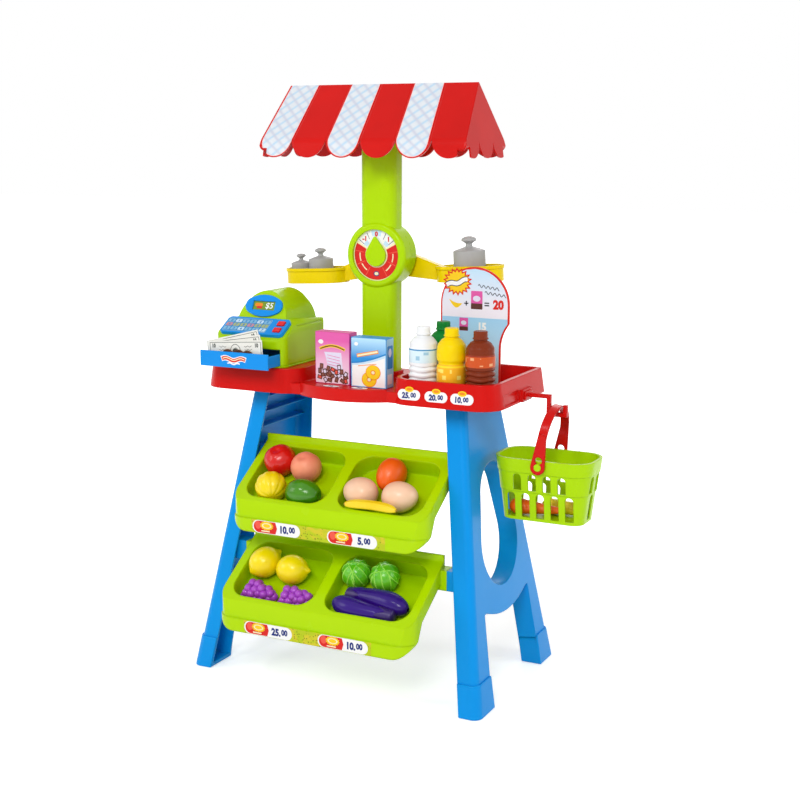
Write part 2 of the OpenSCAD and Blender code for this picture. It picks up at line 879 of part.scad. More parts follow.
// scale weight: drum, low cone, thin neck and a mushroom knob, one turned outline
module weight(x, share) {
  r = weight_large_r * share;
  h = weight_large_h * share;
  neck_r = r * 0.22;
  knob_r = r * 0.48;
  cone_z = h + r * 0.24;
  neck_z = cone_z + r * 0.20;
  knob_z = neck_z + r * 0.18;
  edge = r * 0.05;
  color("#b4b4b2") at_stall() tipped() translate([x, beam_y, pan_floor + rest_gap]) rotate_extrude() polygon([
    [0, 0], [r - edge, 0], [r, edge], [r, h - edge], [r - edge, h], [neck_r, cone_z], [neck_r, neck_z],
    [knob_r, knob_z], [knob_r, knob_z + edge], [knob_r * 0.7, knob_z + r * 0.2], [0, knob_z + r * 0.26]
  ]);
}

weight_medium_x = -pan_x + weight_large_r * 0.25;
weight_small_x = weight_medium_x - weight_large_r * (weight_shares[0] + weight_shares[1]) - slide_gap;
module weight_small() weight(weight_small_x, weight_shares[0]);
module weight_medium() weight(weight_medium_x, weight_shares[1]);
module weight_large() weight(pan_x, weight_shares[2]);

/* roof */

// half outline of the roof from the ridge to the tip: straight slope, bend, short tail
bend_start = [roof_half_d * bend_share, -roof_rise * bend_share];
bend_mid = bend_start - eave_bend_r * [sin(roof_lean), cos(roof_lean)];
function bend_at(a, e) = bend_mid + (eave_bend_r - e) * [sin(a), cos(a)];
bend_angles = [for (i = [0 : bend_steps]) roof_lean + (tail_lean - roof_lean) * i / bend_steps];
tail = scallop_h * [cos(tail_lean), -sin(tail_lean)];
roof_tip = bend_at(tail_lean, 0) + tail;

module roof_side(e) {
  tip = bend_at(tail_lean, e) + tail * (1 + 2 * e / scallop_h);
  half = concat([for (a = bend_angles) bend_at(a, e)], [tip]);
  n = len(half);
  left = [for (p = half) [-p[0], p[1]]];
  right = [for (i = [1 : n]) half[n - i]];
  polygon(concat([[0, -e / cos(roof_lean)]], left, right));
}

module roof_front(e) {
  grow = (eave_half - ridge_half) / roof_rise;
  low = roof_tip[1] - 3 * e;
  x0 = ridge_half - e;
  polygon([[-x0, 0], [x0, 0], [x0 - low * grow, low], [-(x0 - low * grow), low]]);
}

module roof_solid(e) {
  intersection() {
    along_x(-2 * eave_half, 2 * eave_half) roof_side(e);
    along_y(-2 * roof_half_d, 2 * roof_half_d) roof_front(e);
  }
}

// everything below a row of round scallops
module scallop_waste(count, half) {
  pitch = 2 * half / count;
  mid = roof_tip[1] + pitch / 2;
  difference() {
    translate([-2 * half, mid - pitch]) square([4 * half, pitch]);
    for (i = [0 : count - 1]) translate([-half + pitch * (i + 0.5), mid])
      circle(pitch / 2 * strap_share);
  }
}

module roof() {
  grow = (eave_half - ridge_half) / roof_rise;
  edge_half = eave_half - grow * (roof_tip[1] + roof_rise);
  edge_d = roof_tip[0];
  rim = 6 * roof_t;
  sock_w = col_w + 2 * wall + 2 * rest_gap;
  sock_d = col_d + 2 * wall + 2 * rest_gap;
  color("#e01a14") at_stall() translate([0, col_y, stall_h]) difference() {
    union() {
      difference() {
        roof_solid(0);
        roof_solid(roof_t);
      }
      intersection() {
        translate([0, 0, col_top - stall_h - socket_reach]) linear_extrude(stall_h)
          rrect(sock_w, sock_d, col_r + wall);
        roof_solid(roof_t / 2);
      }
    }
    for (s = [-1, 1]) {
      along_y(s > 0 ? edge_d - rim : -2 * edge_d, s > 0 ? 2 * edge_d : rim - edge_d)
        scallop_waste(stripe_count, edge_half);
      along_x(s > 0 ? edge_half - rim : -2 * edge_half, s > 0 ? 2 * edge_half : rim - edge_half)
        scallop_waste(stripe_count / 2, edge_d);
    }
    translate([0, 0, col_top - stall_h - 2 * socket_reach]) linear_extrude(2 * socket_reach + rest_gap)
      rrect(col_w + 2 * rest_gap, col_d + 2 * rest_gap, col_r + rest_gap);
  }
}

/* till */

// till frame: front at y = 0, deck at z = 0
module at_till() at_stall() translate([till_x, till_y, counter_top]) children();
module on_keys() translate([0, 0, till_front_h]) rotate([till_lean, 0, 0]) children();
module on_hood() translate([0, hood_y, hood_z]) rotate([hood_lean, 0, 0]) children();

module till_plan(e, h) {
  translate([0, till_d / 2, 0]) linear_extrude(h) rrect(till_w - 2 * e, till_d - 2 * e, 5 * wall - e);
}

module till_shell() {
  back_h = till_slope_h - 2 * wall;
  face_r = till_w * 0.3;
  base_r = till_w * 0.35;
  color("#b4e600") at_till() difference() {
    union() {
      intersection() {
        till_plan(0, till_h);
        along_x(-till_w, till_w) polygon([
          [0, till_base_t], [till_d, till_base_t], [till_d, back_h],
          [till_run, till_slope_h], [0, till_front_h]
        ]);
        along_y(-till_d, 2 * till_d) rrect(till_w, 2 * till_slope_h, till_w * 0.17);
      }
      intersection() {
        along_y(0, till_d) belt([0, hood_z], base_r, [0, till_h - face_r], face_r);
        along_x(-till_w, till_w) polygon([
          [hood_y, hood_z], [hood_y + hood_run, till_h], [till_d - 2 * hood_run / 3, till_h],
          [till_d - wall, hood_z - wall], [hood_y, hood_z - wall]
        ]);
      }
    }
    // room for the drawer, and the mouth in the front wall
    intersection() {
      till_plan(wall, till_front_h - wall);
      translate([-till_w, 0, -wall]) cube([2 * till_w, till_d, till_front_h]);
    }
    translate([-slot_w / 2, -wall, 0]) cube([slot_w, till_d / 2, slot_h]);
    // room under the hood
    intersection() {
      till_plan(wall, back_h - wall);
      translate([-till_w, till_run, 0]) cube([2 * till_w, till_d, till_h]);
    }
  }
}

module till_base() {
  color("#b4e600") at_till() till_plan(-wall / 2, till_base_t);
}

key_x = till_w * 0.35;
key_shares = [0.30, 0.70];
keypad_w = till_w * 0.90;
keypad_d = till_run * 0.80;
keypad_y = till_run / cos(till_lean) * 0.5;

module key_frame(share) {
  on_keys() translate([key_x, keypad_y + keypad_d * (share - 0.5), 0]) children();
}

module keypad() {
  color("#0090e8") at_till() difference() {
    on_keys() translate([0, keypad_y, 0]) linear_extrude(keypad_t) rrect(keypad_w, keypad_d, 2 * wall);
    for (share = key_shares) key_frame(share) {
      translate([0, 0, -wall]) linear_extrude(2 * keypad_t) square([key_w, key_d], center = true);
      translate([0, 0, -wall]) linear_extrude(wall + key_travel + 2 * key_flange_t - slide_gap)
        square([key_w + 2 * key_flange + slide_gap, key_d + 2 * key_flange + slide_gap], center = true);
    }
  }
}

module key_cap(share) {
  z1 = key_travel + 2 * key_flange_t - slide_gap;
  color("#e01a14") at_till() key_frame(share) {
    translate([0, 0, z1 - key_flange_t]) linear_extrude(key_flange_t)
      square([key_w + 2 * key_flange - slide_gap, key_d + 2 * key_flange - slide_gap], center = true);
    translate([0, 0, z1 - key_flange_t]) linear_extrude(key_flange_t + keypad_t - z1 + key_travel)
      square([key_w - 2 * slide_gap, key_d - 2 * slide_gap], center = true);
  }
}

module key_lower() key_cap(key_shares[0]);
module key_upper() key_cap(key_shares[1]);

bezel_w = till_w * 0.53;
bezel_h = till_w * 0.285;
screen_w = till_w * 0.32;
screen_h = till_w * 0.115;
bezel_y = (till_h - hood_z) / sin(hood_lean) * 0.5;

module display_bezel() {
  color("#0090e8") at_till() on_hood() translate([0, bezel_y, 0]) linear_extrude(wall) difference() {
    oval(bezel_w, bezel_h, 0.36);
    square([screen_w + 2 * rest_gap, screen_h + 2 * rest_gap], center = true);
  }
}

module display_screen() {
  color("#7fa03c") at_till() on_hood() translate([0, bezel_y, 0])
    linear_extrude(wall / 2) square([screen_w, screen_h], center = true);
}

// drawer frame: back of the drawer front at y = 0, underside at z = 0
module at_drawer() at_till() translate([0, -drawer_out, till_base_t + slide_gap]) children();

module cash_drawer() {
  color("#0090e8") at_drawer() {
    translate([-drawer_front_w / 2, -wall, slide_gap - till_base_t / 2])
      cube([drawer_front_w, wall, drawer_front_h]);
    difference() {
      translate([-drawer_w / 2, -wall / 2, 0]) cube([drawer_w, drawer_d + wall / 2, drawer_h]);
      translate([drawer_t - drawer_w / 2, 0, drawer_t])
        cube([drawer_w - 2 * drawer_t, drawer_d - drawer_t, drawer_h]);
    }
  }
}

coin_r = drawer_front_h * 0.5;
note_w = drawer_w * 0.875;
note_h = drawer_front_h * 1.4;
note_leans = [4, 9, 14];
coin_shares = [-0.12, 0.04, 0.20];

// three notes fanned about their lower corner, standing on the drawer floor
module banknotes() {
  color("#e8e6d8") at_drawer() intersection() {
    translate([-note_w / 2, 2 * coin_t, drawer_t]) for (i = [0 : 2])
      translate([0, i * note_t, 0]) rotate([0, -note_leans[i], 0])
        translate([0, 0, -note_w / 2]) cube([note_w, note_t, note_h + note_w / 2]);
    translate([-drawer_w / 2, 0, drawer_t]) cube([drawer_w, drawer_d, 4 * note_h]);
  }
}

module coins() {
  color("#6e4a2e") at_drawer() for (i = [0 : 2])
    translate([coin_shares[i] * drawer_w, coin_t * (1 + i % 2), drawer_t + coin_r])
      rotate([90, 0, 0]) cylinder(r = coin_r, h = coin_t);
}

/* goods on the counter */

// ribbed toy bottle: body with round grooves, shoulder, neck and screw cap, one turned outline
module bottle(x, y, r, h, tint) {
  body_h = h * 0.73;
  neck_r = r * 0.42;
  cap_r = r * 0.45;
  groove_r = r * 0.13;
  groove_shares = [0.08, 0.21, 0.34, 0.47];
  color(tint) at_stall() translate([x, y, bin_z + rest_gap]) rotate_extrude() difference() {
    polygon([
      [0, 0], [r * 0.93, 0], [r, h * 0.02], [r, body_h], [r * 0.90, h * 0.78], [r * 0.66, h * 0.845],
      [neck_r, h * 0.875], [neck_r, h * 0.89], [cap_r * 1.12, h * 0.89], [cap_r * 1.12, h * 0.905],
      [cap_r, h * 0.905], [cap_r, h * 0.985], [cap_r * 0.9, h], [0, h]
    ]);
    for (s = groove_shares) translate([r + groove_r * 0.3, s * body_h + groove_r]) circle(groove_r);
  }
}

bin_x0 = ledge_half + counter_draft + bin_rim + counter_draft / 2;
bin_y0 = -counter_front + counter_draft + bin_rim + counter_draft / 2;
row_y = bin_y0 + bottle_r + 2 * slide_gap;
row_x = bin_x0 + bottle_r * 1.33;
row_step = 2 * bottle_r + slide_gap;
module bottle_white() bottle(row_x, row_y, bottle_r, bottle_h, "#f2f2f0");
module bottle_yellow() bottle(row_x + row_step, row_y, bottle_r, bottle_h, "#f6d800");
module bottle_brown() bottle(row_x + 2 * row_step, row_y, bottle_r, bottle_h * 0.985, "#7a3418");
module bottle_green()
  bottle(row_x + row_step * 0.22, row_y + row_step * 1.06, bottle_r, bottle_h * 1.02, "#0c7a2c");

module carton(x, y, h, tint) {
  color(tint) at_stall() translate([x - carton_w / 2, y, ledge_z + rest_gap]) cube([carton_w, carton_d, h]);
}

carton_y = -ledge_side + 3 * carton_gap;
module carton_pink() carton(-carton_w / 2, carton_y + carton_gap, carton_h, "#e85aa0");
module carton_blue() carton(carton_w / 2 + carton_gap, carton_y, carton_h * 0.95, "#3aa0e0");

// card with a round head, a waist and a straight foot
module sign_card() {
  foot_half = sign_r * 0.76;
  waist_r = sign_r * 1.1;
  head_z = sign_h - sign_r;
  waist_z = sign_h * 0.36;
  color("#cfe4f4") at_stall() translate([section_x + sign_t / 2, 0, bin_z + rest_gap])
    along_y(sign_y - sign_t / 2, sign_y + sign_t / 2) difference() {
      union() {
        translate([0, head_z]) circle(sign_r);
        translate([-sign_r, 0]) square([2 * sign_r, head_z]);
      }
      for (s = [-1, 1]) {
        translate([s * (foot_half + waist_r), waist_z]) circle(waist_r);
        translate([s > 0 ? foot_half : -2 * foot_half, -sign_t])
          square([foot_half, waist_z + sign_t]);
      }
    }
}

/* basket and its hook */

module basket_hook() {
  tip = hook_t * 2;
  foot_z = -hook_drop - 1.75 * hook_t;
  x_end = hook_reach + hook_t + strap_w + 2 * wall;
  color("#e01a14") at_stall() translate([hook_x, hook_y, hook_z]) {
    translate([0, -2.4 * hook_t, -hook_t]) cube([hook_t / 2, 4.8 * hook_t, 2 * hook_t]);
    translate([0, -hook_t / 2, -hook_t / 2]) cube([hook_reach, hook_t, hook_t]);
    translate([hook_reach - hook_t, -hook_t / 2, foot_z]) cube([hook_t, hook_t, hook_t / 2 - foot_z]);
    translate([hook_reach - hook_t, -hook_t / 2, foot_z]) cube([x_end - hook_reach + hook_t, hook_t, hook_t]);
    translate([x_end - hook_t, -hook_t / 2, foot_z]) cube([hook_t, hook_t, hook_t + tip]);
    // round seat under the handle, on a short post
    translate([seat_x - hook_x, 0, -hook_drop]) {
      translate([0, hook_t, 0]) rotate([90, 0, 0]) cylinder(r = hook_t / 2, h = 2 * hook_t);
      translate([-hook_t / 4, -hook_t / 2, foot_z + hook_drop])
        cube([hook_t / 2, hook_t, -hook_drop - foot_z]);
    }
  }
}

// arch of flat strap with a double eyelet at each end
module basket_handle() {
  r_in = strap_y;
  top = handle_h + strap_t;
  eye_r = pin_r * 2;
  eye_step = pin_r * 1.9;
  color("#e01a14") at_stall() translate([seat_x, hook_y, seat_z]) rotate([0, handle_lean, 0])
    translate([0, 0, -hang]) difference() {
      union() {
        along_x(-strap_w / 2, strap_w / 2) difference() {
          belt([0, handle_h - r_in], r_in + strap_t, [0, eye_r], r_in + strap_t);
          belt([0, handle_h - r_in], r_in, [0, -top], r_in);
          translate([-2 * r_in, -2 * top]) square([4 * r_in, 2 * top + eye_r]);
        }
        for (s = [-1, 1])
          along_y(s > 0 ? strap_y : -strap_y - strap_t, s > 0 ? strap_y + strap_t : -strap_y)
            belt([0, 0], eye_r, [0, 4 * eye_r], strap_w / 2);
      }
      translate([0, 2 * strap_y, 0]) rotate([90, 0, 0]) cylinder(r = pin_r + 2 * shaft_gap, h = 4 * strap_y);
      translate([0, 2 * strap_y, eye_step]) rotate([90, 0, 0]) cylinder(r = pin_r, h = 4 * strap_y);
    }
}

// basket frame: centred on the pins, bottom at z = 0
module at_basket() at_stall() translate([pivot_x, hook_y, basket_top - basket_h]) children();

module tub(e, z0, z1) {
  k = basket_taper / basket_h;
  s0 = e + k * (basket_h - z0);
  s1 = e + k * (basket_h - z1);
  hull() {
    slice(basket_len - 2 * s0, basket_w - 2 * s0, basket_r - s0, basket_r - s0, z0);
    slice(basket_len - 2 * s1, basket_w - 2 * s1, basket_r - s1, basket_r - s1, z1 - wall / 30);
  }
}

module slot_row(count, pitch, w, z0, z1, reach) {
  for (i = [0 : count - 1]) along_y(-reach, reach)
    translate([(i - (count - 1) / 2) * pitch, 0]) {
      translate([-w / 2, z0]) square([w, z1 - z0 - w / 2]);
      translate([0, z1 - w / 2]) circle(w / 2);
    }
}

module basket() {
  pitch = basket_len * 0.155;
  slot = pitch * 0.55;
  step_z = basket_h * 0.47;
  pin_z = pivot_z - basket_top + basket_h;
  color("#b4e600") at_basket() {
    difference() {
      union() {
        tub(0, 0, basket_h);
        tub(-band_t / 2, step_z, basket_h);
        tub(-band_t, basket_h - band_h, basket_h);
      }
      tub(basket_t, basket_t, basket_h + wall);
      slot_row(4, pitch, slot, step_z + band_t, basket_h - band_h - band_t, basket_w);
      slot_row(5, pitch * 0.98, slot, 2 * basket_t, step_z - band_t, basket_w);
      rotate([0, 0, 90]) {
        slot_row(2, pitch, slot, step_z + band_t, basket_h - band_h - band_t, basket_len);
        slot_row(1, pitch, slot, 2 * basket_t, step_z - band_t, basket_len);
      }
    }
    for (s = [-1, 1]) translate([0, s > 0 ? basket_w / 2 - basket_t : -strap_y - strap_t, pin_z])
      rotate([-90, 0, 0]) cylinder(r = pin_r, h = strap_y + strap_t - basket_w / 2 + basket_t);
  }
}

floor_half = basket_w / 2 - basket_taper - basket_t;

module basket_carrot() {
  r = floor_half * 0.42;
  len = basket_len * 0.46;
  color("#f26a10") at_basket() translate([-basket_len * 0.30, -floor_half * 0.35, basket_t + r + rest_gap])
    rotate([0, 90, 0]) turned(2 * len) belt([0, 0], r, [0, len], r * 0.35);
}

module basket_corn() {
  r = floor_half * 0.40;
  len = basket_len * 0.34;
  color("#f6d800") at_basket() translate([-basket_len * 0.02, floor_half * 0.45, basket_t + r + rest_gap])
    rotate([0, 90, 0]) turned(2 * len) belt([0, 0], r, [0, len], r * 0.72);
}

/* produce */

// place on a pocket floor: side, shares across and down the slope, height of the centre
module in_pocket(at, side, shares, h) {
  at_stall() translate([0, at[0], at[1]]) on_slope()
    translate([side * pocket_x + (shares[0] - 0.5) * pocket_w,
               -pocket_rim - shares[1] * pocket_len, h - pocket_depth + rest_gap]) children();
}

module tomato() {
  h = fruit_r * 0.96;
  color("#dd1414") in_pocket(tray_at[0], -1, [0.19, 0.245], h) turned(3 * fruit_r) difference() {
    oval(2 * fruit_r * 1.05, 2 * h, 0.44);
    translate([0, 1.5 * h]) circle(0.58 * h);
  }
}

module peach() {
  color("#f07a60") in_pocket(tray_at[0], -1, [0.55, 0.32], fruit_r * 0.98) difference() {
    sphere(fruit_r * 0.98);
    rotate([0, 90, 25]) rotate_extrude() translate([fruit_r * 1.01, 0]) circle(fruit_r * 0.06);
  }
}

// round fruit with shallow rings
module melon() {
  r = fruit_r * 0.98;
  color("#f2cc00") in_pocket(tray_at[0], -1, [0.272, 0.76], r) turned(3 * fruit_r) difference() {
    circle(r);
    for (a = [-40, -15, 10, 35], s = [-1, 1])
      translate([s * r * 1.05 * cos(a), r * 1.05 * sin(a)]) circle(r * 0.08);
  }
}

module avocado() {
  h = fruit_r * 0.89;
  color("#2f6a08") in_pocket(tray_at[0], -1, [0.677, 0.785], h)
    rotate([0, 90, 0]) turned(3 * fruit_r) rotate(90) oval(2.4 * fruit_r, 2 * h, 0.43);
}

module mango() {
  h = fruit_r * 0.95;
  color("#f4650c") in_pocket(tray_at[0], 1, [0.438, 0.272], h) rotate([-90, 0, -8])
    turned(3 * fruit_r) belt([0, -fruit_r * 0.36], h * 0.82, [0, fruit_r * 0.22], h);
}

module egg(side, shares, turn) {
  r = fruit_r * 0.95;
  color("#e8bc92") in_pocket(tray_at[0], side, shares, r)
    rotate([0, 90, turn]) turned(3 * fruit_r) belt([0, -fruit_r * 0.14], r, [0, fruit_r * 0.34], r * 0.82);
}
module egg_left() egg(1, [0.206, 0.649], 172);
module egg_right() egg(1, [0.665, 0.64], 12);

module banana() {
  r = fruit_r * 0.29;
  bend = fruit_r * 9;
  half_turn = 9;
  color("#f2d200") in_pocket(tray_at[0], 1, [0.44, 0.92], pocket_depth + r * 0.68)
    translate([0, -bend, 0]) rotate([0, 0, 90 - half_turn]) {
      rotate_extrude(angle = 2 * half_turn) translate([bend, 0]) circle(r);
      translate([bend, r * 0.2, 0]) rotate([90, 0, 0]) cylinder(r1 = r * 0.96, r2 = r * 0.4, h = 1.8 * r);
      rotate([0, 0, 2 * half_turn]) translate([bend, -r * 0.2, 0]) rotate([-90, 0, 0])
        cylinder(r1 = r * 0.96, r2 = r * 0.5, h = 1.5 * r);
    }
}

module lemon(shares, turn, share) {
  r = fruit_r * share;
  color("#f4d60a") in_pocket(tray_at[1], -1, shares, r) rotate([0, 90, turn]) turned(3 * fruit_r) {
    belt([0, -0.06 * r], r, [0, 0.22 * r], 0.93 * r);
    belt([0, 0.92 * r], 0.32 * r, [0, 1.22 * r], 0.14 * r);
  }
}
module lemon_left() lemon([0.19, 0.34], 60, 0.95);
module lemon_right() lemon([0.547, 0.387], 8, 0.94);

// bunch of round berries in three rows that narrow to a tip
module grapes(shares, turn) {
  r = fruit_r * 0.38;
  row_shares = [[-1.5, 3], [0, 3], [1.5, 2], [2.8, 1]];
  top_shares = [[-0.8, 2], [0.7, 2], [2, 1]];
  color("#8a2ab8") in_pocket(tray_at[1], -1, shares, r) rotate([0, 0, turn]) {
    for (row = row_shares, j = [0 : row[1] - 1])
      translate([row[0] * r * 1.1, (j - (row[1] - 1) / 2) * r * 1.35, 0]) sphere(r);
    for (row = top_shares, j = [0 : row[1] - 1])
      translate([row[0] * r * 1.1, (j - (row[1] - 1) / 2) * r * 1.35, r * 1.1]) sphere(r);
  }
}
module grapes_left() grapes([0.24, 0.78], -6);
module grapes_right() grapes([0.70, 0.79], 4);

// round head wrapped in two outer leaves, each part of a turn and cut short of the top
module cabbage(shares, turn) {
  r = fruit_r * 0.93;
  core_share = 0.94;
  leaf_turn = 150;
  color("#3fbf12") in_pocket(tray_at[1], 1, shares, r * core_share) rotate([0, 0, turn]) {
    sphere(r * core_share);
    for (a = [0, 180]) rotate([0, 0, a]) rotate_extrude(angle = leaf_turn) intersection() {
      circle(r);
      translate([r * 0.2, -r * 0.9]) square([r, r * 1.75]);
    }
  }
}
module cabbage_left() cabbage([0.17, 0.26], 20);
module cabbage_right() cabbage([0.51, 0.25], -35);

module aubergine(shares, turn) {
  r = fruit_r * 0.69;
  len = fruit_r * 3.3;
  color("#3a1a78") in_pocket(tray_at[1], 1, shares, r) rotate([0, 90, turn]) turned(2 * len)
    belt([0, 0], r, [0, len], r * 0.55);
}
module aubergine_back() aubergine([0.80, 0.64], 174);
module aubergine_front() aubergine([0.175, 0.825], -5);

leg_panel_left();
leg_panel_right();
foot_caps_left();
foot_caps_right();
shelf_upper();
shelf_lower();
counter();
column_front();
column_back();
dial_plate();
pointer();
balance_shaft();
balance_beam();
weight_small();
weight_medium();
weight_large();
roof();
till_shell();
till_base();
keypad();
key_upper();
key_lower();
display_bezel();
display_screen();
cash_drawer();
banknotes();
coins();
bottle_white();
bottle_green();
bottle_yellow();
bottle_brown();
carton_pink();
carton_blue();
sign_card();
basket_hook();
basket_handle();
basket();
basket_carrot();
basket_corn();
tomato();
peach();
melon();
avocado();
mango();
egg_left();
egg_right();
banana();
lemon_left();
lemon_right();
grapes_left();
grapes_right();
cabbage_left();
cabbage_right();
aubergine_back();
aubergine_front();
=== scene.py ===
"""Toy market stall: moulded panels, trays, counter, till, balance, roof, basket and play food."""
import json
import math

import bmesh
import bpy
import numpy as np
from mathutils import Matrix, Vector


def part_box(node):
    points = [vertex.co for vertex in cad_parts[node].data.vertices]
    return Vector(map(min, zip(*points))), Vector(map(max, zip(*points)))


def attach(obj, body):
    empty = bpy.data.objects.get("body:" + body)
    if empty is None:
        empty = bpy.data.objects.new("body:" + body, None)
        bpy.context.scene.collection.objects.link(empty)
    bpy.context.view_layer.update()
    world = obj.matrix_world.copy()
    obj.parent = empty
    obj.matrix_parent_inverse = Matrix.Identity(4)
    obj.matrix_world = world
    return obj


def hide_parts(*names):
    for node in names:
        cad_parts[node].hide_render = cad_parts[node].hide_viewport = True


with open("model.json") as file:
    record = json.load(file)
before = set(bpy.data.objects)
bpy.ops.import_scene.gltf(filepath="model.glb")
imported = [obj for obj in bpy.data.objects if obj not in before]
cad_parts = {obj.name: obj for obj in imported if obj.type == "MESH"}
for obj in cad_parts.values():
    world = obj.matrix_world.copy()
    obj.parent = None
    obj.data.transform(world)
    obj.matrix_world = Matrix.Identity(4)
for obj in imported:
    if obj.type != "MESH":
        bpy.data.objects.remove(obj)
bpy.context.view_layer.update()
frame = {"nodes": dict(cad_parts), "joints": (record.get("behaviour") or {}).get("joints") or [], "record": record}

MM = 0.001
PER_M = 1000.0
TAU = 2 * math.pi
RIGHT, LEFT, BACK, UP = (1, 0, 0), (-1, 0, 0), (0, 1, 0), (0, 0, 1)
scene = bpy.context.scene


def box_of(nodename):
    """Lower and upper corner of a node's box, in metres."""
    return tuple(np.array(v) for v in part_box(nodename))


def front_of(nodename):
    """Middle of the front of a node's box, in metres."""
    lo, hi = box_of(nodename)
    return np.array([(lo + hi)[0] / 2, lo[1], (lo + hi)[2] / 2])


# middle of the stall on the floor, in metres; the roof's middle stands 21 mm behind it
ROOF_BACK = 21
ROOF_LO, ROOF_HI = box_of("roof")
STALL = np.array([(ROOF_LO[0] + ROOF_HI[0]) / 2, (ROOF_LO[1] + ROOF_HI[1]) / 2 - ROOF_BACK * MM, 0])
AXES = {j["name"]: np.array(j["axis"], float) for j in frame["joints"]}


def at(x, y, z):
    """Point given in millimetres from the middle of the stall, in metres in the frame."""
    return STALL + np.array([x, y, z]) * MM


def linear(code):
    """sRGB hex colour as linear red, green, blue and alpha."""
    c = np.array([int(code[i:i + 2], 16) for i in (1, 3, 5)]) / 255
    return (*np.where(c <= 0.04045, c / 12.92, ((c + 0.055) / 1.055) ** 2.4), 1.0)


def darker(code, share):
    """Linear colour at a share of its brightness."""
    return tuple(v * share for v in linear(code)[:3]) + (1.0,)


# materials

def joined(tree, n, links):
    """Sets a node's inputs, each to a value, a socket, or another node, whose first open output is meant."""
    for key, value in links.items():
        if isinstance(value, bpy.types.Node):
            value = next(s for s in value.outputs if s.enabled)
        if isinstance(value, bpy.types.NodeSocket):
            tree.links.new(value, n.inputs[key])
        else:
            n.inputs[key].default_value = value
    return n


def node(tree, kind, links=None, **settings):
    """Adds a node: settings are its properties, links its inputs."""
    n = tree.nodes.new("ShaderNode" + kind)
    for key, value in settings.items():
        setattr(n, key, value)
    return joined(tree, n, links or {})


def per_mm(millimetres):
    """Texture scale of a feature that is so many millimetres wide, on coordinates in metres."""
    return PER_M / millimetres


def surface(name, colour, rough, shine=0.22):
    """New material with a Principled surface; returns material, tree, shader and its Object coordinates."""
    m = bpy.data.materials.new(name)
    m.use_nodes = True
    m.diffuse_color = linear(colour)
    t = m.node_tree
    p = t.nodes["Principled BSDF"]
    joined(t, p, {"Base Color": linear(colour), "Roughness": rough, "Specular IOR Level": shine})
    return m, t, p, node(t, "TexCoord").outputs["Object"]


MOULD_SHINE, MOTTLE_SHADE = 0.13, 0.93
# depths of relief in mm
GRAIN_DEPTH, PORE_DEPTH, GROOVE_DEPTH = 0.4, 0.8, 0.8


def moulded(name, colour, rough=0.3, shade=0.93, peel=0.05, edge=1.4):
    """Injection-moulded ABS or polypropylene: an even bright colour with soft gloss. Broad flow marks shift
    the colour a little, the gloss varies over hand-sized patches, fine mould grain breaks the highlights, and
    edges catch the light as if rounded to edge millimetres."""
    m, t, p, co = surface(name, colour, rough, MOULD_SHINE)
    flow = node(t, "TexNoise", {"Vector": co, "Scale": per_mm(70), "Detail": 3.0, "Roughness": 0.55})
    tint = node(t, "Mix", {"Factor": flow, "A": linear(colour), "B": darker(colour, shade)}, data_type="RGBA")
    patch = node(t, "TexNoise", {"Vector": co, "Scale": per_mm(35), "Detail": 4.0})
    gloss = node(t, "MapRange", {"Value": patch, "To Min": rough * 0.8, "To Max": rough * 1.25})
    # real mould grain is about 0.1 mm and is drawn at 1.2 mm so that it shows
    grain = node(t, "TexNoise", {"Vector": co, "Scale": per_mm(1.2), "Detail": 2.0})
    soft = node(t, "Bevel", {"Radius": edge * MM}, samples=6)
    relief = {"Height": grain, "Strength": peel, "Distance": GRAIN_DEPTH * MM, "Normal": soft}
    joined(t, p, {"Base Color": tint, "Roughness": gloss, "Normal": node(t, "Bump", relief)})
    return m


def printed(name, colour, rough=0.42):
    """Ink on coated card or film: flat colour with a faint paper mottle under a satin varnish."""
    m, t, p, co = surface(name, colour, rough)
    mottle = node(t, "TexNoise", {"Vector": co, "Scale": per_mm(4), "Detail": 3.0})
    tones = {"A": linear(colour), "B": darker(colour, MOTTLE_SHADE)}
    tint = node(t, "Mix", {"Factor": mottle, **tones}, data_type="RGBA")
    joined(t, p, {"Base Color": tint})
    return m


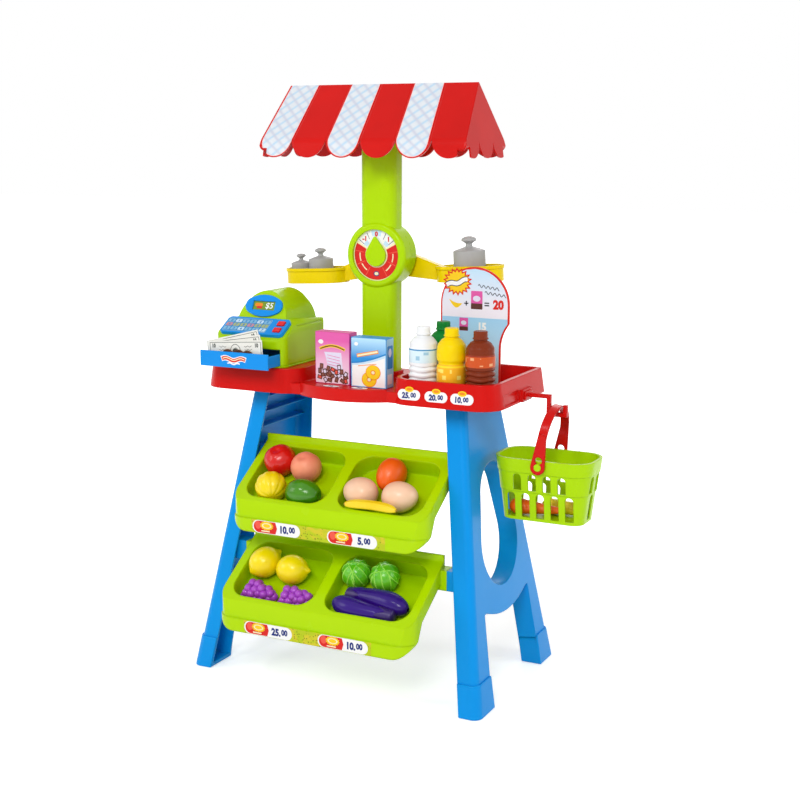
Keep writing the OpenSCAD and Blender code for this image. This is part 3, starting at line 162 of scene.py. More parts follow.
def awning(name):
    """Painted ABS roof: red, with printed white film on every other stripe. Stripes fan from the ridge to
    the eaves: the stripe number is x over the half length at that height, in thirds. The white film ends in
    a half round, stays a margin inside its stripe, and carries thin slanted lines, pale blue and grey, that
    cross."""
    m, t, p, co = surface(name, "#d8130f", 0.3, MOULD_SHINE)
    ridge = float(ROOF_HI[2])
    drop = (ridge - float(ROOF_LO[2])) * PER_M
    ridge_half, flare, thirds, round_end = 146.0, 12 / 82, 3.0, 26.0
    film_margin, rim_margin, facing_up = 3.2, 2.4, 0.05
    line_slope, line_gap, line_sharpness, line_strength = 1.31, 18.4, 7.0, 0.75
    groove_width, groove_share = 1.6, 0.6
    place = node(t, "SeparateXYZ", {"Vector": co}).outputs
    facing = node(t, "SeparateXYZ", {"Vector": node(t, "NewGeometry").outputs["Normal"]}).outputs
    part = {"place x": place["X"], "place z": place["Z"], "facing": facing["Z"]}
    # name of a result, its operation, and what goes in: numbers and earlier results, lengths in mm
    for result, operation, *given in (
        ("from middle", "SUBTRACT", "place x", float(STALL[0])),
        ("x", "MULTIPLY", "from middle", PER_M),
        ("below ridge", "SUBTRACT", ridge, "place z"),
        ("down", "MULTIPLY", "below ridge", PER_M),
        ("half length", "MULTIPLY_ADD", "down", flare, ridge_half),
        ("share", "DIVIDE", "x", "half length"),
        ("share in thirds", "MULTIPLY", "share", thirds),
        ("stripe", "ADD", "share in thirds", thirds),
        ("width", "DIVIDE", "half length", thirds),
        ("within", "FRACT", "stripe"),
        ("off middle", "SUBTRACT", "within", 0.5),
        ("across", "MULTIPLY", "off middle", "width"),
        ("number", "FLOOR", "stripe"),
        ("odd", "MODULO", "number", 2.0),
        ("even", "LESS_THAN", "odd", 0.5),
        ("below round", "SUBTRACT", "down", drop - round_end),
        ("past", "MAXIMUM", "below round", 0.0),
        ("across squared", "MULTIPLY", "across", "across"),
        ("past squared", "MULTIPLY", "past", "past"),
        ("reach squared", "ADD", "across squared", "past squared"),
        ("reach", "SQRT", "reach squared"),
        ("half width", "MULTIPLY", "width", 0.5),
        ("edge", "SUBTRACT", "half width", "reach"),
        ("outside", "GREATER_THAN", "facing", facing_up),
        ("white stripe", "MULTIPLY", "even", "outside"),
        ("inside film", "GREATER_THAN", "edge", film_margin),
        ("film", "MULTIPLY", "white stripe", "inside film"),
        ("inside rim", "GREATER_THAN", "edge", rim_margin),
        ("rim", "MULTIPLY", "white stripe", "inside rim"),
        ("slope", "MULTIPLY", "down", line_slope),
        ("rising", "ADD", "x", "slope"),
        ("falling", "SUBTRACT", "x", "slope"),
        ("inside", "MAXIMUM", "edge", 0.0),
        ("near edge", "MINIMUM", "inside", groove_width),
        ("groove", "MULTIPLY", "near edge", groove_share),
    ):
        part[result] = node(t, "Math", {i: part.get(g, g) for i, g in enumerate(given)}, operation=operation)
    soft = node(t, "TexNoise", {"Vector": co, "Scale": per_mm(14), "Detail": 2.0})
    white = node(t, "Mix", {"Factor": soft, "A": linear("#e2e5e9"), "B": linear("#d3d9e0")}, data_type="RGBA")
    steps = (("MULTIPLY", math.pi / line_gap), ("SINE", 0.0), ("ABSOLUTE", 0.0), ("POWER", line_sharpness),
             ("MULTIPLY", line_strength))
    for way, ink in (("rising", "#a9cde6"), ("falling", "#c3c6d6")):
        mark = part[way]
        for operation, value in steps:
            mark = node(t, "Math", {0: mark, 1: value}, operation=operation)
        white = node(t, "Mix", {"Factor": mark, "A": white, "B": linear(ink)}, data_type="RGBA")
    flow = node(t, "TexNoise", {"Vector": co, "Scale": per_mm(60), "Detail": 3.0})
    red = node(t, "Mix", {"Factor": flow, "A": linear("#d3110c"), "B": linear("#be0e0a")}, data_type="RGBA")
    rimmed = node(t, "Mix", {"Factor": part["rim"], "A": red, "B": linear("#f5b8b4")}, data_type="RGBA")
    both = node(t, "Mix", {"Factor": part["film"], "A": rimmed, "B": white}, data_type="RGBA")
    # shallow moulded groove between neighbouring stripes
    bump = node(t, "Bump", {"Height": part["groove"], "Strength": 0.7, "Distance": GROOVE_DEPTH * MM})
    joined(t, p, {"Base Color": both, "Normal": bump})
    return m


def speckled(name):
    """Printed film strip on a tray: yellow-green with dark dots about 3.6 mm apart and soft scrolls."""
    m, t, p, co = surface(name, "#c3d326", 0.4)
    dots = node(t, "TexVoronoi", {"Vector": co, "Scale": per_mm(3.6), "Randomness": 0.7})
    fade = {"From Min": 0.2, "From Max": 0.3, "To Min": 0.85, "To Max": 0.0}
    near = node(t, "MapRange", {"Value": dots, **fade})
    scroll = node(t, "TexNoise", {"Vector": co, "Scale": per_mm(20), "Detail": 1.0, "Distortion": 1.6})
    share = node(t, "MapRange", {"Value": scroll, "From Min": 0.42, "From Max": 0.58})
    base = node(t, "Mix", {"Factor": share, "A": linear("#b3c416"), "B": linear("#d0c32a")}, data_type="RGBA")
    both = node(t, "Mix", {"Factor": near, "A": base, "B": linear("#67660f")}, data_type="RGBA")
    joined(t, p, {"Base Color": both})
    return m


def skin(name, colour, second, rough, size, depth, most=0.5, shine=0.4):
    """Blow-moulded vinyl play food: a main colour that drifts to a second one over size millimetres, with
    soft gloss and shallow dimples of a few millimetres."""
    m, t, p, co = surface(name, colour, rough, shine)
    drift = node(t, "TexNoise", {"Vector": co, "Scale": per_mm(size), "Detail": 2.0})
    share = node(t, "MapRange", {"Value": drift, "From Min": 0.3, "From Max": 0.75, "To Max": most})
    tint = node(t, "Mix", {"Factor": share, "A": linear(colour), "B": linear(second)}, data_type="RGBA")
    pores = node(t, "TexNoise", {"Vector": co, "Scale": per_mm(2.4), "Detail": 2.0})
    bump = node(t, "Bump", {"Height": pores, "Strength": depth, "Distance": PORE_DEPTH * MM})
    joined(t, p, {"Base Color": tint, "Normal": bump})
    return m


def label_film(name, base, accent, third, z0, z1):
    """Shrunk label film: bands by height over the label, broken by soft blocks of a third ink about 11 mm
    wide."""
    m, t, p, co = surface(name, base, 0.35)
    z = node(t, "SeparateXYZ", {"Vector": co}).outputs["Z"]
    share = node(t, "MapRange", {"Value": z, "From Min": z0, "From Max": z1})
    ramp = node(t, "ValToRGB", {"Fac": share})
    ramp.color_ramp.interpolation = "CONSTANT"
    for i, (pos, code) in enumerate(((0.0, accent), (0.10, base), (0.84, accent), (0.92, base))):
        e = ramp.color_ramp.elements[i] if i < 2 else ramp.color_ramp.elements.new(pos)
        e.position = pos
        e.color = linear(code)
    grid = {"Vector": co, "Scale": per_mm(11), "Randomness": 0.9}
    blocks = node(t, "TexVoronoi", grid, distance="CHEBYCHEV")
    fade = {"From Min": 0.24, "From Max": 0.27, "To Min": 1.0, "To Max": 0.0}
    mask = node(t, "MapRange", {"Value": blocks, **fade})
    # blocks only from a fifth to about three quarters of the label's height
    for start, end, low, high in ((0.2, 0.22, 0.0, 1.0), (0.76, 0.78, 1.0, 0.0)):
        limits = {"From Min": start, "From Max": end, "To Min": low, "To Max": high}
        part = node(t, "MapRange", {"Value": share, **limits})
        mask = node(t, "Math", {0: mask, 1: part}, operation="MULTIPLY")
    both = node(t, "Mix", {"Factor": mask, "A": ramp, "B": linear(third)}, data_type="RGBA")
    joined(t, p, {"Base Color": both})
    return m


def graded(name, low, high, z0, z1):
    """Printed card whose colour runs evenly from one ink at height z0 to another at z1, under a satin
    varnish."""
    m, t, p, co = surface(name, low, 0.4)
    z = node(t, "SeparateXYZ", {"Vector": co}).outputs["Z"]
    share = node(t, "MapRange", {"Value": z, "From Min": z0, "From Max": z1})
    tint = node(t, "Mix", {"Factor": share, "A": linear(low), "B": linear(high)}, data_type="RGBA")
    joined(t, p, {"Base Color": tint})
    return m


LIME = moulded("lime_abs_moulded", "#afdc00", 0.27)
LIME_TRAY = moulded("lime_abs_tray", "#b2db00", 0.25, edge=4.0)
LIME_TILL = moulded("lime_abs_till", "#abd600", 0.25, edge=3.0)
BLUE = moulded("blue_polypropylene_moulded", "#0594e6", 0.3, edge=2.5)
RED = moulded("red_abs_moulded", "#d0100b", 0.24, edge=2.5)
YELLOW = moulded("yellow_abs_moulded", "#f3d600", 0.27)
GREY = moulded("grey_abs_satin", "#acacab", 0.42, peel=0.08)
TILL_BLUE = moulded("blue_abs_gloss", "#0f8fe6", 0.2)
KEY_RED = moulded("red_abs_key", "#e22a30", 0.25)
SCREEN = moulded("clear_window_over_lcd", "#7d9a34", 0.12, 0.85, 0.0)
COIN = moulded("brown_coin_plastic", "#5e3c28", 0.38)
STRIPED = awning("roof_abs_striped_film")
STRIP = speckled("speckled_strip_film")
WHITE_INK = printed("white_label_film", "#f4f4f2")
BLUE_INK = printed("navy_ink", "#1c2f78")
RED_INK = printed("red_ink", "#d8241c")
ROSE_INK = printed("light_red_ink", "#ee5a48")
CREAM_INK = printed("cream_ink", "#f6ecc0")
GOLD_INK = printed("golden_yellow_ink", "#f6cc1c")
SKY_INK = printed("sky_blue_ink", "#a9d4ee")
PALE_BLUE_INK = printed("pale_blue_ink", "#c3e0f3")
LILAC_INK = printed("pale_lilac_ink", "#e3def2")
BLACK_INK = printed("black_ink", "#2a2a34")
BROWN_INK = printed("cocoa_brown_ink", "#5a2f28")
COCOA_INK = printed("light_cocoa_ink", "#8a5648")
PINK_INK = printed("pink_ink", "#e05aa6")
ORANGE_INK = printed("orange_ink", "#ee8a1c")
PRINT_BLUE = printed("bright_blue_ink", "#2a86cc")
GREY_INK = printed("note_grey_ink", "#454a42")
PAPER = printed("note_paper", "#e9e8e0", 0.6)
PAD_FIELD = printed("keypad_pale_blue_ink", "#7fb8dc")
PAD_BLUE = printed("keypad_mid_blue_ink", "#2f86c4")
PAD_OLIVE = printed("keypad_olive_ink", "#a9b678")
PAD_ROSE = printed("keypad_rose_ink", "#c98a94")
PINK_CARD = printed("pink_carton_card", "#d94f9c")
BLUE_CARD = printed("blue_carton_card", "#3a9ade")
CARD_RED = printed("red_card_edge", "#d8281e")


# surfaces worked out as arrays

GRID_WELD = 2e-6
NODE_WELD = 3e-6
FLAT_ANGLE = math.radians(0.4)
SHARP_ANGLE = math.radians(28)


def mesh_piece(name, verts, faces, mats, picks=None, smooth=True):
    """Object at the origin from points in metres, faces and materials; picks gives each face's material
    number."""
    me = bpy.data.meshes.new(name)
    me.from_pydata(np.asarray(verts, float).reshape(-1, 3).tolist(), [], [list(map(int, f)) for f in faces])
    for m in mats:
        me.materials.append(m)
    if picks is not None:
        me.polygons.foreach_set("material_index", np.asarray(picks, np.int32))
    me.polygons.foreach_set("use_smooth", np.full(len(me.polygons), smooth))
    me.update()
    me.validate()
    ob = bpy.data.objects.new(name, me)
    scene.collection.objects.link(ob)
    return ob


def closed(ob):
    """Merges the points that meet at seams and poles, and turns all faces outward."""
    bm = bmesh.new()
    bm.from_mesh(ob.data)
    bmesh.ops.remove_doubles(bm, verts=bm.verts, dist=GRID_WELD)
    bmesh.ops.recalc_face_normals(bm, faces=bm.faces)
    bm.to_mesh(ob.data)
    bm.free()
    return ob


def grid_faces(nu, nv, first=0):
    """Quads of a grid of nu by nv points, numbered u * nv + v from first; the last row joins the first."""
    u = np.arange(nu)[:, None]
    v = np.arange(nv - 1)[None, :]
    w = (u + 1) % nu
    return np.stack([u * nv + v, w * nv + v, w * nv + v + 1, u * nv + v + 1], -1).reshape(-1, 4) + first


def grid_piece(name, P, mats, picks=None):
    """Grid of points P[u, v], which closes on itself along u, as a mesh with merged poles."""
    return closed(mesh_piece(name, P, grid_faces(P.shape[0], P.shape[1]), mats, picks))


def turns(count):
    """Angles of count even steps round a full turn, as a column."""
    return (np.arange(count) * TAU / count)[:, None]


def lathe(profile, segments):
    """Profile of radius and height turned about Z: point (r cos u, r sin u, z)."""
    u = turns(segments)
    r, z = np.asarray(profile, float).T
    return np.stack([np.cos(u) * r, np.sin(u) * r, np.broadcast_to(z, (segments, len(z)))], -1)


def swept(radius, along, bow=0.0):
    """Round section of radius[w, t] about a line along Z, bowed sideways along Y: w runs round, t along."""
    w = turns(radius.shape[0])
    return np.stack([np.cos(w) * radius, np.sin(w) * radius + bow, along + 0 * w], -1)


def rounded(profile, cuts=3):
    """Outline with its corners cut again and again; each point counts twice, so the cuts stay short."""
    p = np.repeat(np.asarray(profile, float), 2, 0)
    for _ in range(cuts):
        q = 0.75 * p[:-1] + 0.25 * p[1:]
        r = 0.25 * p[:-1] + 0.75 * p[1:]
        p = np.concatenate([p[:1], np.stack([q, r], 1).reshape(-1, 2), p[-1:]])
    return p


def resampled(profile, count):
    """Outline with count points spaced evenly along its length."""
    p = np.asarray(profile, float)
    d = np.concatenate([[0], np.cumsum(np.hypot(*np.diff(p, axis=0).T))])
    s = np.linspace(0, d[-1], count)
    return np.stack([np.interp(s, d, p[:, 0]), np.interp(s, d, p[:, 1])], 1)


def ball(nu=72, nv=48):
    """Angles u round the pole and v from the top pole down, and the directions they give on a sphere."""
    u = turns(nu)
    v = np.linspace(0, math.pi, nv)[None, :]
    return u, v, np.stack([np.cos(u) * np.sin(v), np.sin(u) * np.sin(v), np.cos(v) + 0 * u], -1)


def bell(x, width):
    """1 at 0, falling off on both sides over width."""
    return np.exp(-(x / width) ** 2)


def seated(P, nodename, axes=np.eye(3)):
    """Turns points by axes (rows are the images of X, Y and Z) and moves their box's middle to the node's."""
    lo, hi = box_of(nodename)
    Q = P.reshape(-1, 3) * MM @ axes
    Q = Q + (lo + hi) / 2 - (Q.min(0) + Q.max(0)) / 2
    return Q.reshape(P.shape)


def body_of(nodename):
    """Name of the body that carries a node."""
    return next(b for b, nodes in frame["record"]["behaviour"]["bodies"].items() if nodename in nodes)


def stands_for(ob, nodename):
    """The piece takes the node's place and body, and the node is hidden."""
    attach(ob, body_of(nodename))
    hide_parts(nodename)
    return ob


def dressed(nodename, mat, edge=0.0, segments=2):
    """The node's own shape with its triangles merged; flat faces keep flat shading and curved ones run
    smooth. Where edge is given, faces are joined first and every hard edge is rounded to that many
    millimetres."""
    bm = bmesh.new()
    bm.from_mesh(frame["nodes"][nodename].data)
    bmesh.ops.remove_doubles(bm, verts=bm.verts, dist=NODE_WELD)
    bmesh.ops.dissolve_degenerate(bm, edges=bm.edges, dist=NODE_WELD)
    if edge:
        bmesh.ops.dissolve_limit(bm, angle_limit=FLAT_ANGLE, verts=bm.verts, edges=bm.edges)
    for f in bm.faces:
        f.smooth = True
        f.material_index = 0
    for e in bm.edges:
        e.smooth = len(e.link_faces) == 2 and e.calc_face_angle(0) < SHARP_ANGLE
    me = bpy.data.meshes.new(nodename + "_shell")
    bm.to_mesh(me)
    bm.free()
    for name in [a.name for a in me.attributes if a.name == "custom_normal"]:
        me.attributes.remove(me.attributes[name])
    me.materials.append(mat)
    ob = bpy.data.objects.new(nodename + "_shell", me)
    scene.collection.objects.link(ob)
    if edge:
        bev = ob.modifiers.new("edge", "BEVEL")
        bev.width = edge * MM
        bev.segments = segments
        bev.limit_method = "ANGLE"
        bev.angle_limit = SHARP_ANGLE
        bev.use_clamp_overlap = False
        bev.harden_normals = True
    else:
        flat = ob.modifiers.new("flat_faces", "WEIGHTED_NORMAL")
        flat.keep_sharp = True
        flat.weight = 80
    return stands_for(ob, nodename)


# flat prints: outlines in millimetres on a plane

def line(x, y):
    """Points from their x and y."""
    return np.stack([x, y], 1)


def rrect(w, h, r, cx=0.0, cy=0.0, n=6):
    """Rectangle with round corners."""
    a = np.linspace(0, math.pi / 2, n)
    arc = line(np.cos(a), np.sin(a)) * r
    turn = [np.array([[c, s], [-s, c]]) for c, s in ((1, 0), (0, 1), (-1, 0), (0, -1))]
    x, y = w / 2 - r, h / 2 - r
    mid = ((x, y), (-x, y), (-x, -y), (x, -y))
    return np.concatenate([arc @ t + m for t, m in zip(turn, mid)]) + (cx, cy)


def oval(w, h, cx=0.0, cy=0.0, n=40):
    """Ellipse of width w and height h."""
    a = np.arange(n) * TAU / n
    return line(np.cos(a) * w / 2 + cx, np.sin(a) * h / 2 + cy)


def burst(points, r0, r1, cx=0.0, cy=0.0):
    """Star with points rays between two radii."""
    a = np.arange(2 * points) * math.pi / points
    r = np.where(np.arange(2 * points) % 2 == 0, r1, r0)
    return line(np.cos(a) * r + cx, np.sin(a) * r + cy)


def sector(r0, r1, a0, a1, n=40):
    """Part of a ring between two radii and two angles in degrees from the top, clockwise."""
    a = np.radians(np.linspace(a0, a1, n))
    edge = line(np.sin(a), np.cos(a))
    return np.concatenate([edge * r1, (edge * r0)[::-1]])


def stroke(points, w):
    """Line of width w along points, as one outline."""
    p = np.asarray(points, float)
    d = np.gradient(p, axis=0)
    nrm = line(-d[:, 1], d[:, 0]) / np.hypot(*d.T)[:, None] * w / 2
    return np.concatenate([p + nrm, (p - nrm)[::-1]])


def numerals(text, size, cx, cy, squeeze=1.0, lean=0.0, weight=0.08):
    """Numbers as flat faces: points, faces; centred on cx, cy, size is the height of a digit in millimetres
    and weight the share of it that the strokes are thickened by."""
    digit_share = 0.7
    cu = bpy.data.curves.new("numerals", "FONT")
    cu.body = text
    cu.size = size / digit_share
    cu.align_x = "CENTER"
    cu.resolution_u = 3
    cu.offset = size * weight
    ob = bpy.data.objects.new("numerals", cu)
    me = ob.to_mesh()
    p = np.empty(len(me.vertices) * 3)
    me.vertices.foreach_get("co", p)
    p = p.reshape(-1, 3)[:, :2]
    faces = [list(f.vertices) for f in me.polygons]
    p = p - (p.min(0) + p.max(0)) / 2
    p[:, 0] = p[:, 0] * squeeze + p[:, 1] * lean
    ob.to_mesh_clear()
    bpy.data.objects.remove(ob)
    bpy.data.curves.remove(cu)
    return p + (cx, cy), faces


def price(text, size, cx, cy, squeeze):
    """Price as flat faces: whole units at full size, cents smaller and level with their top; centred on cx,
    cy."""
    cents_share, gap_share = 0.8, 0.12
    units, cents = text.split(".")
    p, f = numerals(units + ".", size, 0, 0, squeeze)
    q, g = numerals(cents, size * cents_share, 0, 0, squeeze)
    q = q + (p[:, 0].max() - q[:, 0].min() + size * gap_share, p[:, 1].max() - q[:, 1].max())
    pts = np.concatenate([p, q])
    pts = pts - (pts.min(0) + pts.max(0)) / 2 + (cx, cy)
    return pts, f + [[i + len(p) for i in k] for k in g]


def prints(name, body, origin, right, up, layers):
    """Flat inks on one plane. Each layer is (outline or (points, faces), material, lift in mm) and lies on
    origin + x right + y up + lift normal."""
    right, up = (np.asarray(v, float) / np.linalg.norm(v) for v in (right, up))
    out = np.cross(right, up)
    verts, faces, picks, mats = [], [], [], []
    count = 0
    for shape, mat, lift in layers:
        pts, fs = shape if isinstance(shape, tuple) else (shape, [list(range(len(shape)))])
        if not isinstance(shape, tuple) and np.sum(np.cross(shape, np.roll(shape, -1, 0))) < 0:
            fs = [fs[0][::-1]]
        verts.append(origin + MM * (pts[:, :1] * right + pts[:, 1:] * up + lift * out))
        if mat not in mats:
            mats.append(mat)
        faces += [[i + count for i in f] for f in fs]
        picks += [mats.index(mat)] * len(fs)
        count += len(pts)
    ob = mesh_piece(name, np.concatenate(verts), faces, mats, picks, smooth=False)
    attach(ob, body)
    return ob


# moulded stall: node, finish, and where edges are rounded in the mesh their radius in mm and segments

for row in (
    ("leg_panel_left", BLUE), ("leg_panel_right", BLUE),
    ("foot_caps_left", BLUE, 1.2, 3), ("foot_caps_right", BLUE, 1.2, 3),
    ("shelf_upper", LIME_TRAY), ("shelf_lower", LIME_TRAY), ("counter", RED),
    ("column_front", LIME), ("column_back", LIME),
    ("balance_shaft", LIME, 0.5), ("pointer", LIME, 0.9, 3), ("balance_beam", YELLOW), ("roof", STRIPED),
    ("till_shell", LIME_TILL), ("till_base", LIME_TILL, 0.6), ("keypad", TILL_BLUE),
    ("key_upper", KEY_RED, 0.5), ("key_lower", KEY_RED, 0.5),
    ("display_bezel", TILL_BLUE), ("cash_drawer", TILL_BLUE, 0.7),
    ("basket_hook", RED), ("basket_handle", RED), ("basket", LIME),
):
    dressed(*row)

# scale weights: radius and height of the outline as shares of the radius, the upper part from the body's top
WEIGHT_BODY = 40 / 22.5
WEIGHT_FOOT = [(0, 0), (0.94, 0), (1, 0.06)]
WEIGHT_TOP = [(1, -0.05), (0.97, 0), (0.62, 0.12), (0.24, 0.24), (0.2, 0.3), (0.2, 0.42), (0.3, 0.5),
              (0.47, 0.6), (0.48, 0.66), (0.4, 0.78), (0.2, 0.86), (0, 0.88)]


def weight(n):
    """Turned body, low cone, neck and knob: radius by height follows the outline, upright on its tilted
    pan."""
    axis = AXES[n + "_lift"]
    lo, hi = box_of(n)
    r = (hi - lo)[1] / 2 * PER_M
    outline = np.concatenate([WEIGHT_FOOT, np.add(WEIGHT_TOP, (0, WEIGHT_BODY))]) * r
    axes = np.array([np.cross(BACK, axis), BACK, axis])
    P = lathe(resampled(rounded(outline), 120), 72)
    stands_for(grid_piece(n + "_turned", seated(P, n, axes), [GREY]), n)


for n in ("weight_small", "weight_medium", "weight_large"):
    weight(n)

# dial: white arc with marks and numbers over a red band
dressed("dial_plate", WHITE_INK)
number_ring = 29.6
marks = [
    (oval(71.6, 71.6, n=90), CREAM_INK, 0.05), (sector(17.5, 34.6, 62, 298, 90), RED_INK, 0.10),
    (sector(18, 35, -56, 56, 50), WHITE_INK, 0.10), (sector(27, 35, -14, 14), PALE_BLUE_INK, 0.13),
    (sector(19, 25, -54, -34), PALE_BLUE_INK, 0.13), (sector(19, 25, 34, 54), PALE_BLUE_INK, 0.13)]
marks += [(sector(24.5, 34.2, a - 0.8, a + 0.8, 3), BLACK_INK, 0.17) for a in (-52, -26, 26, 52)]
marks += [(sector(19.5, 33.0, a - 1.2, a + 1.2, 3), ROSE_INK, 0.15) for a in (80, 115, 150, 210, 245, 280)]
marks += [(sector(25.2, 26.8, a, a + 26, 12), CREAM_INK, 0.16) for a in (84, 119, 215, 250)]
marks += [(oval(9, 7, 0, -26), BLUE_INK, 0.18), (oval(6.4, 4.6, 0, -26), CREAM_INK, 0.21)]
for text, turn in (("-1", -40), ("0", 0), ("1", 40)):
    a = math.radians(turn)
    marks.append((numerals(text, 6.2, number_ring * math.sin(a), number_ring * math.cos(a)), RED_INK, 0.2))
prints("dial_print", "stall", front_of("dial_plate"), RIGHT, UP, marks)

# till display: digits and two blocks on the sloping face of the hood
dressed("display_screen", SCREEN, 0.3)
hood_up = np.array([0, 20.0, 43.0])
face_out = np.cross(RIGHT, hood_up / np.linalg.norm(hood_up))
screen_half = 0.75
screen_mid = sum(box_of("display_screen")) / 2 + face_out * screen_half * MM
prints("display_digits", "stall", screen_mid, RIGHT, hood_up, [
    (numerals("$5", 8.4, 8.6, 0, 1.05, 0.12, 0.02), WHITE_INK, 0.12),
    (rrect(13, 5, 2.2, -9, 1.4), ORANGE_INK, 0.1), (rrect(9, 3.4, 1.4, -7.5, -2.4), RED_INK, 0.12)])

# keypad: three rows of six printed keys in several tones
pad_out = AXES["key_upper_press"]
pad_half = 2.5
pad_mid = sum(box_of("keypad")) / 2 + pad_out * pad_half * MM
tones = (PAD_FIELD, PAD_OLIVE, PALE_BLUE_INK, PAD_OLIVE, PAD_FIELD, PAD_ROSE)
cells = [(rrect(72, 29, 2.5, -13, 0), PAD_FIELD, 0.08), (rrect(70, 27, 2, -13, 0), PAD_BLUE, 0.11)]
for row in range(3):
    for col in range(6):
        spot = (-42.5 + col * 11.8, 8.6 - row * 8.6)
        cells.append((rrect(10.2, 7.0, 1.6, *spot), tones[(col * 2 + row * 5) % 6], 0.14))
        cells.append((numerals(str((row * 6 + col) % 10), 4.2, *spot), PAD_BLUE, 0.18))
prints("keypad_print", "stall", pad_mid, RIGHT, np.cross(pad_out, RIGHT), cells)

# red and white ribbon on the drawer front
ripple = np.linspace(0, 1, 40)
ribbon = line(-20 + 40 * ripple, 1.6 * np.sin(TAU * 1.5 * ripple))
prints("drawer_print", "drawer", front_of("cash_drawer"), RIGHT, UP, [
    (stroke(ribbon + (0, 1), 7.4), WHITE_INK, 0.08),
    (stroke(ribbon * (0.95, 1) + (0, 1), 5.0), RED_INK, 0.12),
    (stroke(ribbon * (0.9, 1) + (0, 1.4), 1.3), CREAM_INK, 0.16),
    (stroke(ribbon * (0.5, 0.6) - (0, 5), 1.8), WHITE_INK, 0.1)])


# price strips on the trays, price pills on the bin and the ledge

def tag(cx, text):
    """Price tag: red rounded left part with a golden oval, white right part with a number."""
    cap_r = 8.2
    a = np.radians(np.linspace(90, 270, 16))
    cap = line(cx - 27.8 + cap_r * np.cos(a), cap_r * np.sin(a))
    left = np.concatenate([cap, [(cx - 1, -cap_r), (cx + 1.5, 0), (cx - 1, cap_r)]])
    sun = burst(16, 9.2, 11.2, cx - 15, 0) * (1, 0.6) + (0, 2.2)
    return [(rrect(76, 18, 8.9, cx, 0), WHITE_INK, 0.14), (left, RED_INK, 0.2),
            (oval(9, 11, cx - 29, 2), ROSE_INK, 0.24), (sun, GOLD_INK, 0.28),
            (oval(15, 7.6, cx - 15, 2.2), CREAM_INK, 0.32), (oval(11.5, 5.4, cx - 15, 2.2), GOLD_INK, 0.36),
            (rrect(14, 1.7, 0.8, cx - 17, -5.6), CREAM_INK, 0.26),
            (price(text, 9.4, cx + 18.4, -0.2, 0.86), BLUE_INK, 0.22)]


# tray, ends of its strip across the stall, and place and text of both tags, in mm
strip_h, strip_mid = 18.4, 9.5
for n, x0, x1, tags in (("shelf_upper", -112, 96, ((-72, "10.00"), (46, "5.00"))),
                        ("shelf_lower", -103, 95, ((-64, "25.00"), (52, "10.00")))):
    lo, _ = box_of(n)
    layers = [(rrect(x1 - x0, strip_h, 1.2, (x0 + x1) / 2, 0), STRIP, 0.08)]
    for cx, text in tags:
        layers += tag(cx, text)
    prints(n + "_prices", "stall", np.array([STALL[0], lo[1], lo[2] + strip_mid * MM]), RIGHT, UP, layers)
bin_slope = (0, 5, 34)
for i, (x, text) in enumerate(((103.4, "25.00"), (142.8, "20.00"), (180.1, "10.00"))):
    prints(f"bin_price_{i}", "stall", at(x, -101.7, 422.6), RIGHT, bin_slope, [
        (rrect(33, 14, 6.9, 0, -1.0), WHITE_INK, 0.15), (rrect(31.6, 12.6, 6.2, 0, -1.0), LILAC_INK, 0.18),
        (rrect(31, 12, 5.9, 0, -1.0), WHITE_INK, 0.21), (oval(12.5, 7.4, 0, 6.2), GOLD_INK, 0.26),
        (oval(8, 3.6, 0, 6.4), ORANGE_INK, 0.3), (price(text, 7.2, 0, -1.9, 0.92), BLUE_INK, 0.26)])
for i, (x, y, text) in enumerate(((-20, -92.5, "15"), (22, -88.5, "20"))):
    prints(f"ledge_price_{i}", "stall", at(x, y, 422), RIGHT, BACK,
           [(oval(24, 11), WHITE_INK, 0.1), (numerals(text, 6, 0, 0), BLUE_INK, 0.16)])

# bottles: radius and height of the outline as shares of the bottle's own radius and height
BOTTLE = [(0, 0), (0.86, 0), (0.97, 0.02), (0.97, 0.70), (0.90, 0.78), (0.66, 0.845), (0.45, 0.872),
          (0.43, 0.885), (0.52, 0.89), (0.52, 0.903), (0.46, 0.91), (0.46, 0.985), (0.42, 1), (0, 1)]
BODY_SHARES = (0.02, 0.76)
RIB_PITCH = 7.6


def bottle(n, tone, label, rib, waist, foot, head):
    """Turned outline r(z) with round ribs below the label: r falls by rib in the creases, where the sine of
    the rib phase is 0, and the phase shifts with the angle, so the ribs wave round the body. r also falls by
    waist in a bell at the label's head, and by less at its foot."""
    lo, hi = box_of(n)
    R, H = (hi - lo)[0] / 2 * PER_M, (hi - lo)[2] * PER_M
    r, z = resampled(rounded(np.multiply(BOTTLE, (R, H))), 190).T
    u = turns(96)
    share = z / H
    low = np.clip((share - 0.03) / 0.03, 0, 1) * np.clip((foot - 0.01 - share) / 0.02, 0, 1)
    phase = (share * H / RIB_PITCH) * math.pi + 0.3 * np.sin(4 * u)
    cut = rib * low * (1 - np.abs(np.sin(phase))) ** 1.4
    pinch = waist * bell(share - head, 0.035) + waist * 0.6 * bell(share - foot, 0.025)
    body = (share > BODY_SHARES[0]) & (share < BODY_SHARES[1])
    rr = np.where(body, r - cut - pinch, r) + 0 * u
    P = np.stack([np.cos(u) * rr, np.sin(u) * rr, np.broadcast_to(z, rr.shape)], -1)
    on_label = (share[:-1] > foot + 0.015) & (share[:-1] < head - 0.015)
    ob = grid_piece(n + "_turned", seated(P, n), [tone, label], np.tile(on_label.astype(int), len(u)))
    stands_for(ob, n)


